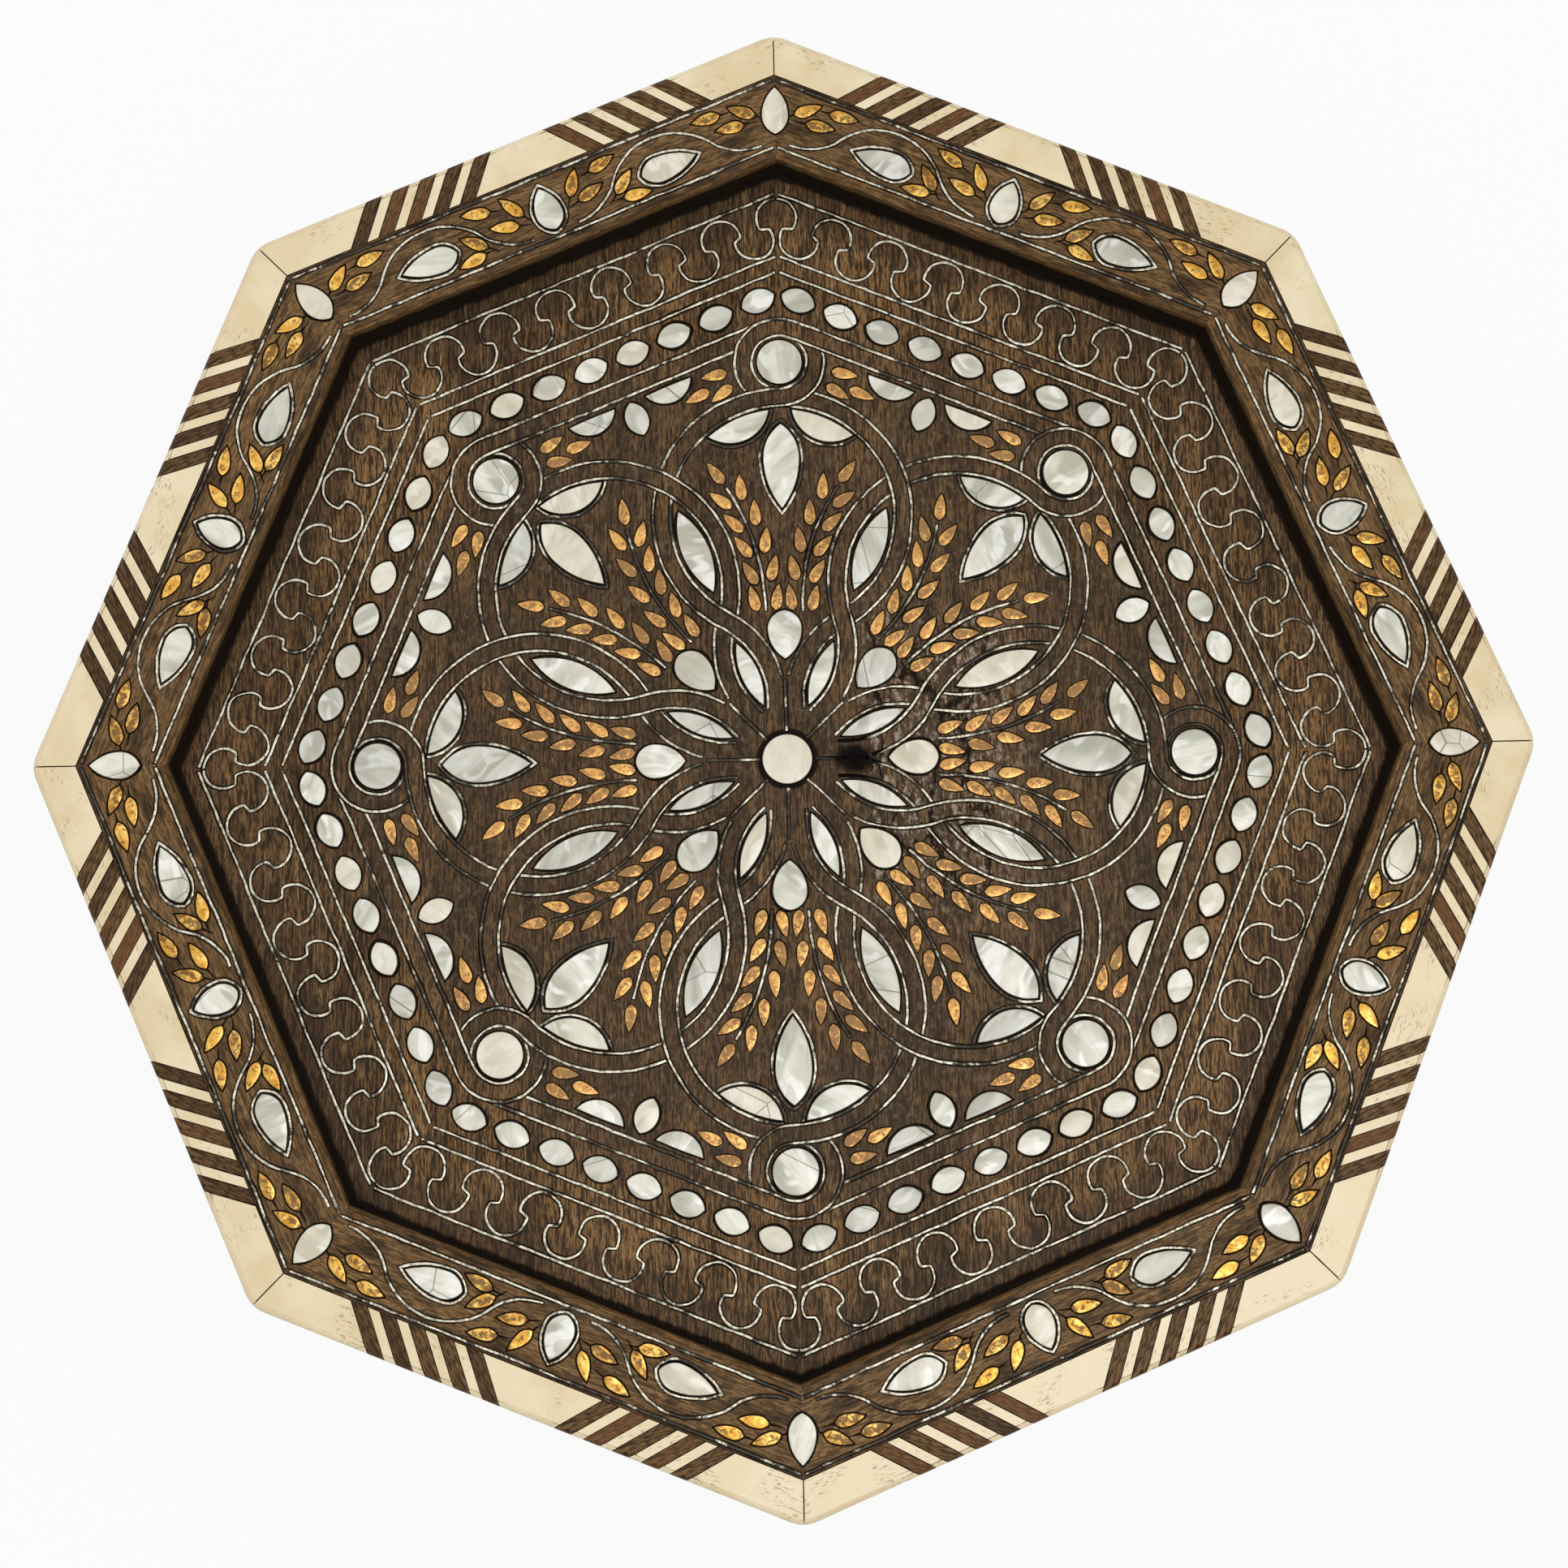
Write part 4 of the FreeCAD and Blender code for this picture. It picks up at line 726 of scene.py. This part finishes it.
# The mastic: black resin and soot that beds the inlay. It was scraped off flush, and it still lies as a
# thin uneven fillet against every piece and wire.
MASTIC_SPREAD = {"pearl": 0.00042, "brass": 0.00022, "tin": 0.0002, "bone": 0.00018}
MASTIC_PROUD = {"pearl": 0.00012, "brass": 0.0, "tin": 0.00005, "bone": 0.0}
MASTIC_LAP = {
    "pearl": (0.00006, 0.00012),
    "brass": (0.00002, 0.00007),
    "tin": (0.00005, 0.00022),
    "bone": (0.00003, 0.00003),
}
STALK_LENGTH = 0.0023
STALK_WIDTH = 0.00046
MASTIC_RISE = 0.00002
MASTIC_ROOT = 0.0002

mastic, tree, shader = new_finish("mastic")
where = turned_place(tree, 0.0)
crumb = cloudy(tree, where, (0.0007, 0.0007, 0.0007), 4.0, 0.65)
body = blend(tree, ramp(tree, crumb, 0.35, 0.7), tint(16, 10, 4), tint(40, 29, 15))
feed(tree, shader.inputs["Base Color"], body)
shader.inputs["Roughness"].default_value = 0.6
shader.inputs["Specular IOR Level"].default_value = 0.08
raised(tree, shader, crumb, 0.0001, 0.6)


def add_fillet(whole, node, kind, on_wall):
    """A three-faced ridge along every upper edge of the pieces: lapped on the piece, thin on the wood."""
    bm = loosened(node)
    subdivide_long(bm, WALL_WIRE_STEP if on_wall else LID_WIRE_STEP)
    ridge = {}
    for edge in list(bm.edges):
        tops = [f for f in edge.link_faces if looks_out(f, on_wall)]
        if len(tops) != 1 or len(edge.link_faces) != 2:
            continue
        loop = [l for l in edge.link_loops if l.face == tops[0]][0]
        ends = []
        for vert in (loop.vert, loop.link_loop_next.vert):
            if vert in ridge:
                ends.append(ridge[vert])
                continue
            out = outward_at(vert.co, on_wall)
            flanks = [f.normal for f in vert.link_faces if abs(f.normal.dot(out)) < 0.5]
            side = sum(flanks, Vector()).normalized()
            uneven = 1.0 + 0.45 * noise.noise(vert.co * 420.0) + 0.35 * noise.noise(vert.co * 1500.0)
            base = wandered(vert.co, on_wall, WIRE_WANDER) if kind == "tin" else vert.co
            ground = base - out * MASTIC_PROUD[kind]
            least, most = MASTIC_LAP[kind]
            smeared = noise.noise(vert.co * 260.0) + 0.3 * noise.noise(vert.co * 1300.0)
            over = least + (most - least) * max(0.0, smeared)
            lap = ground - side * over + out * (MASTIC_PROUD[kind] + MASTIC_RISE)
            uneven *= 0.8 + 0.7 * noise.noise(vert.co * 75.0)
            thin = ground + side * MASTIC_SPREAD[kind] * uneven + out * MASTIC_RISE * 0.3
            ridge[vert] = [whole.verts.new(p) for p in (lap, thin, lap - out * MASTIC_ROOT)]
            ends.append(ridge[vert])
        (lap_a, thin_a, low_a), (lap_b, thin_b, low_b) = ends
        whole.faces.new((lap_b, lap_a, thin_a, thin_b))
        whole.faces.new((thin_b, thin_a, low_a, low_b))
        whole.faces.new((low_b, low_a, lap_a, lap_b))
    bm.free()


def add_stalks(whole, node, on_wall):
    """A short scratched line filled with mastic behind the round end of every leaf of the vines."""
    bm = loosened(node)
    for piece in separate_pieces(bm):
        axes, centre = lie_of([v.co for v in piece], on_wall)
        along, across, out = [axes.col[k].to_3d() for k in range(3)]
        root = centre - along * max((v.co - centre).dot(along) for v in piece)
        bend = 0.0005 * noise.noise(centre * 900.0)
        rows = []
        for share in (0.0, 0.4, 0.75, 1.0):
            spot = root - along * STALK_LENGTH * share + across * bend * share * share
            spot += out * MASTIC_RISE * 0.3
            half = across * STALK_WIDTH * (0.5 - 0.35 * share)
            rows.append([whole.verts.new(p) for p in (spot - half, spot + half, spot - out * MASTIC_ROOT)])
        for one, two in zip(rows, rows[1:]):
            for a, b in ((0, 1), (1, 2), (2, 0)):
                whole.faces.new((one[b], one[a], two[a], two[b]))
        whole.faces.new(rows[0])
        whole.faces.new(list(reversed(rows[-1])))
    bm.free()


for body_name, on_wall in (("lid", False), ("box", True)):
    for kind in MASTIC_SPREAD:
        whole = bmesh.new()
        for node in nodes:
            if node.startswith("wall_") == on_wall and node.replace("wall_", "").startswith(kind + "_"):
                add_fillet(whole, node, kind, on_wall)
                if node in ("brass_border_leaves", "wall_brass_leaves"):
                    add_stalks(whole, node, on_wall)
        if not whole.verts:
            continue
        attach(to_object(body_name + "_mastic_" + kind, whole, mastic), body_name)

# The linings: deep red cotton velvet over thin card, glued to the floor, round the walls and under the lid.
# Each panel is slightly padded, so it is fullest in the middle and pulled down along its edges.
WALL_INNER = 0.11
WALL_PAD_THICK = 0.002
FLOOR_PAD = WALL_INNER - WALL_PAD_THICK
FLOOR_LINING = (0.009, 0.012)
LID_LINING = (0.084, 0.0815)
WALL_PAD_MOST = 0.00195
PAD_ROUND = 0.005
PAD_CLEAR = 0.0001
PAD_RINGS = (1.0, 0.996, 0.988, 0.976, 0.96, 0.9, 0.78, 0.62, 0.45, 0.28, 0.12)
PAD_STEPS = 14
WALL_PAD_COLUMNS = 36
WALL_PAD_ROWS = 24
TAN_HALF = math.tan(math.pi / 8)

velvet, tree, shader = new_finish("velvet")
where = turned_place(tree, 0.0)
nap = cloudy(tree, where, (0.0005, 0.0005, 0.0005), 3.0, 0.6)
stroke = cloudy(tree, where, (0.05, 0.022, 0.03), 2.0, 0.5, warp=0.5)
body = blend(tree, ramp(tree, stroke, 0.3, 0.7), tint(98, 15, 23), tint(116, 21, 29))
body = blend(tree, ramp(tree, nap, 0.4, 0.7, 0.0, 0.5), body, tint(58, 8, 14))
feed(tree, shader.inputs["Base Color"], body)
shader.inputs["Roughness"].default_value = 0.9
shader.inputs["Sheen Weight"].default_value = 0.6
shader.inputs["Sheen Roughness"].default_value = 0.4
shader.inputs["Sheen Tint"].default_value = tint(190, 90, 90)
raised(tree, shader, nap, 0.0003, 0.6)


def pad_height(inside, thick):
    """How full a pad is at a distance from its edge."""
    near = min(1.0, max(0.0, inside / PAD_ROUND))
    return thick * (0.45 + 0.55 * math.sin(near * math.pi / 2))


def octagon_pad(name, node, apothem, glued, face, body_name):
    """A pad on an eight-sided board: rings of points drawn in from the edge, fullest in the middle."""
    bm = bmesh.new()
    thick = abs(face - glued)
    way = 1.0 if face > glued else -1.0
    turns = [math.radians(22.5 + 45 * k) for k in range(9)]
    corners = [Vector((math.cos(t), math.sin(t), 0.0)) for t in turns]
    made = []
    for share in (None,) + PAD_RINGS:
        ring = []
        reach = (1.0 if share is None else share) * apothem / math.cos(math.pi / 8)
        for a, b in zip(corners, corners[1:]):
            for n in range(PAD_STEPS):
                spot = a.lerp(b, n / PAD_STEPS) * reach
                if share is None:
                    spot.z = glued
                else:
                    full = pad_height((1.0 - share) * apothem, thick) - 2 * PAD_CLEAR
                    dimple = 0.00018 * noise.noise(spot * 45.0) * (1.0 - share ** 8)
                    spot.z = glued + way * (full + dimple)
                ring.append(bm.verts.new(spot))
        made.append(ring)
    for one, two in zip(made, made[1:]):
        for n in range(len(one)):
            m = (n + 1) % len(one)
            bm.faces.new((one[n], one[m], two[m], two[n]))
    bm.faces.new(made[-1])
    bm.faces.new(list(reversed(made[0])))
    bmesh.ops.recalc_face_normals(bm, faces=bm.faces)
    pad = to_object(name, bm, velvet)
    stand_in(pad, node, body_name)


octagon_pad("floor_pad", "floor_lining", FLOOR_PAD - PAD_CLEAR, *FLOOR_LINING, "box")
octagon_pad("lid_pad", "lid_lining", WALL_INNER - PAD_CLEAR, *LID_LINING, "lid")

low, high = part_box("wall_lining")
bm = bmesh.new()
columns = WALL_PAD_COLUMNS
rows = WALL_PAD_ROWS
half = FLOOR_PAD * TAN_HALF - PAD_CLEAR
glued_half = WALL_INNER * TAN_HALF - PAD_CLEAR
for k in range(8):
    turn = Matrix.Rotation(k * math.pi / 4, 4, "Z")
    front = []
    for r in range(rows + 1):
        line = []
        for c in range(columns + 1):
            across = math.sin((c / columns - 0.5) * math.pi) * 0.5 + 0.5
            height = math.sin((r / rows - 0.5) * math.pi) * 0.5 + 0.5
            x = (across * 2 - 1) * half
            z = low.z + (high.z - low.z) * height
            inside = min(half - abs(x), high.z - z, z - low.z + 0.004)
            dimple = 0.00012 * noise.noise(Vector((x * 60, k * 3.0, z * 60)))
            full = pad_height(inside, WALL_PAD_THICK) - PAD_CLEAR + dimple
            line.append(bm.verts.new(turn @ Vector((x, WALL_INNER - min(full, WALL_PAD_MOST), z))))
        front.append(line)
    back = []
    for z in (low.z, high.z):
        back.append([bm.verts.new(turn @ Vector((x, WALL_INNER, z))) for x in (-glued_half, glued_half)])
    for r in range(rows):
        for c in range(columns):
            bm.faces.new((front[r][c], front[r][c + 1], front[r + 1][c + 1], front[r + 1][c]))
    bm.faces.new([front[0][c] for c in range(columns, -1, -1)] + [back[0][0], back[0][1]])
    bm.faces.new(front[rows] + [back[1][1], back[1][0]])
    bm.faces.new([front[r][0] for r in range(rows + 1)] + [back[1][0], back[0][0]])
    bm.faces.new([front[r][columns] for r in range(rows, -1, -1)] + [back[0][1], back[1][1]])
    bm.faces.new((back[0][0], back[1][0], back[1][1], back[0][1]))
bmesh.ops.recalc_face_normals(bm, faces=bm.faces)
wall_pad = to_object("wall_pads", bm, velvet)
stand_in(wall_pad, "wall_lining", "box")

# The hinges: two small brass butts let into the back seam, each with three knuckles on a wire pin and four
# screws. Old brass, browned unevenly and drawn with fine lines along its length.
hinge_brass, tree, shader = new_finish("hinge_brass")
where = turned_place(tree, 0.0)
tarnish = cloudy(tree, where, (0.004, 0.004, 0.004), 4.0, 0.65)
drawn = cloudy(tree, where, (0.01, 0.0003, 0.0003), 2.0, 0.5)
body = blend(tree, ramp(tree, drawn, 0.35, 0.65), tint(176, 134, 66), tint(206, 166, 92))
body = blend(tree, ramp(tree, tarnish, 0.5, 0.72, 0.0, 0.8), body, tint(96, 68, 34))
feed(tree, shader.inputs["Base Color"], body)
shader.inputs["Metallic"].default_value = 1.0
feed(tree, shader.inputs["Roughness"], ramp(tree, tarnish, 0.4, 0.7, 0.3, 0.52))
raised(tree, shader, drawn, 0.00004, 0.5)
for node in nodes:
    if node.startswith("hinge_"):
        finish_node(node, hinge_brass)

# The setting: a plain white floor that bends up into a backdrop and keeps a faint shadow, a large soft lamp
# above to the right, a weaker one from the left, and white surroundings. The camera looks down on the lid
# from a little in front.
PAPER_MIDDLE = 2.0
PAPER_REACH = 4.0
PAPER_RISE = 1.8
PAPER_STEPS = 48
LAMP_AIM = Vector((0.0, 0.0, 0.09))
ROOM_LIGHT = 0.42
CAMERA_LENS = 60.789
CAMERA_SPOT = (0.01482, -0.06505, 0.56816)
CAMERA_TURN = (7.3308, -1.1083, 21.3258)
LAMPS = (("lamp_right", (0.3, -0.125, 1.3), 0.55, 6.0), ("lamp_left", (-0.9, 0.37, 1.2), 1.2, 5.0))

bm = bmesh.new()
rings = []
for bow in [0.0, 0.0] + [math.pi / 2 * step / 8 for step in range(1, 9)]:
    far = PAPER_REACH + PAPER_RISE * math.sin(bow) if rings else PAPER_MIDDLE
    lift = PAPER_RISE * (1.0 - math.cos(bow))
    turns = [2 * math.pi * k / PAPER_STEPS for k in range(PAPER_STEPS)]
    rings.append([bm.verts.new((far * math.cos(t), far * math.sin(t), lift)) for t in turns])
bm.faces.new(rings[0])
for one, two in zip(rings, rings[1:]):
    for k in range(PAPER_STEPS):
        after = (k + 1) % PAPER_STEPS
        bm.faces.new((one[k], two[k], two[after], one[after]))
paper, tree, shader = new_finish("paper")
floor = to_object("floor", bm, paper)
shader.inputs["Base Color"].default_value = (0.86, 0.86, 0.86, 1.0)
shader.inputs["Roughness"].default_value = 0.9
glow = tree.nodes.new("ShaderNodeEmission")
glow.inputs["Strength"].default_value = 1.0
rays = tree.nodes.new("ShaderNodeLightPath")
seen = sums(tree, "MAXIMUM", rays.outputs["Is Camera Ray"], rays.outputs["Is Glossy Ray"])
mixed = tree.nodes.new("ShaderNodeMixShader")
feed(tree, mixed.inputs[0], sums(tree, "MULTIPLY", seen, 0.9))
tree.links.new(shader.outputs[0], mixed.inputs[1])
tree.links.new(glow.outputs[0], mixed.inputs[2])
tree.links.new(mixed.outputs[0], tree.nodes["Material Output"].inputs["Surface"])

for label, spot, size, power in LAMPS:
    lamp = bpy.data.lights.new(label, "AREA")
    lamp.size = size
    lamp.energy = power
    held = bpy.data.objects.new(label, lamp)
    held.location = spot
    held.rotation_euler = (LAMP_AIM - Vector(spot)).to_track_quat("-Z", "Y").to_euler()
    bpy.context.scene.collection.objects.link(held)
world = bpy.data.worlds.new("white_room")
world.use_nodes = True
world.node_tree.nodes["Background"].inputs["Color"].default_value = (1.0, 1.0, 1.0, 1.0)
world.node_tree.nodes["Background"].inputs["Strength"].default_value = ROOM_LIGHT
bpy.context.scene.world = world

lens = bpy.data.cameras.new("camera")
lens.lens = CAMERA_LENS
camera = bpy.data.objects.new("camera", lens)
camera.location = CAMERA_SPOT
camera.rotation_euler = Euler([math.radians(a) for a in CAMERA_TURN], "XYZ")
bpy.context.scene.collection.objects.link(camera)
bpy.context.scene.camera = camera
bpy.context.scene.view_settings.view_transform = "Standard"
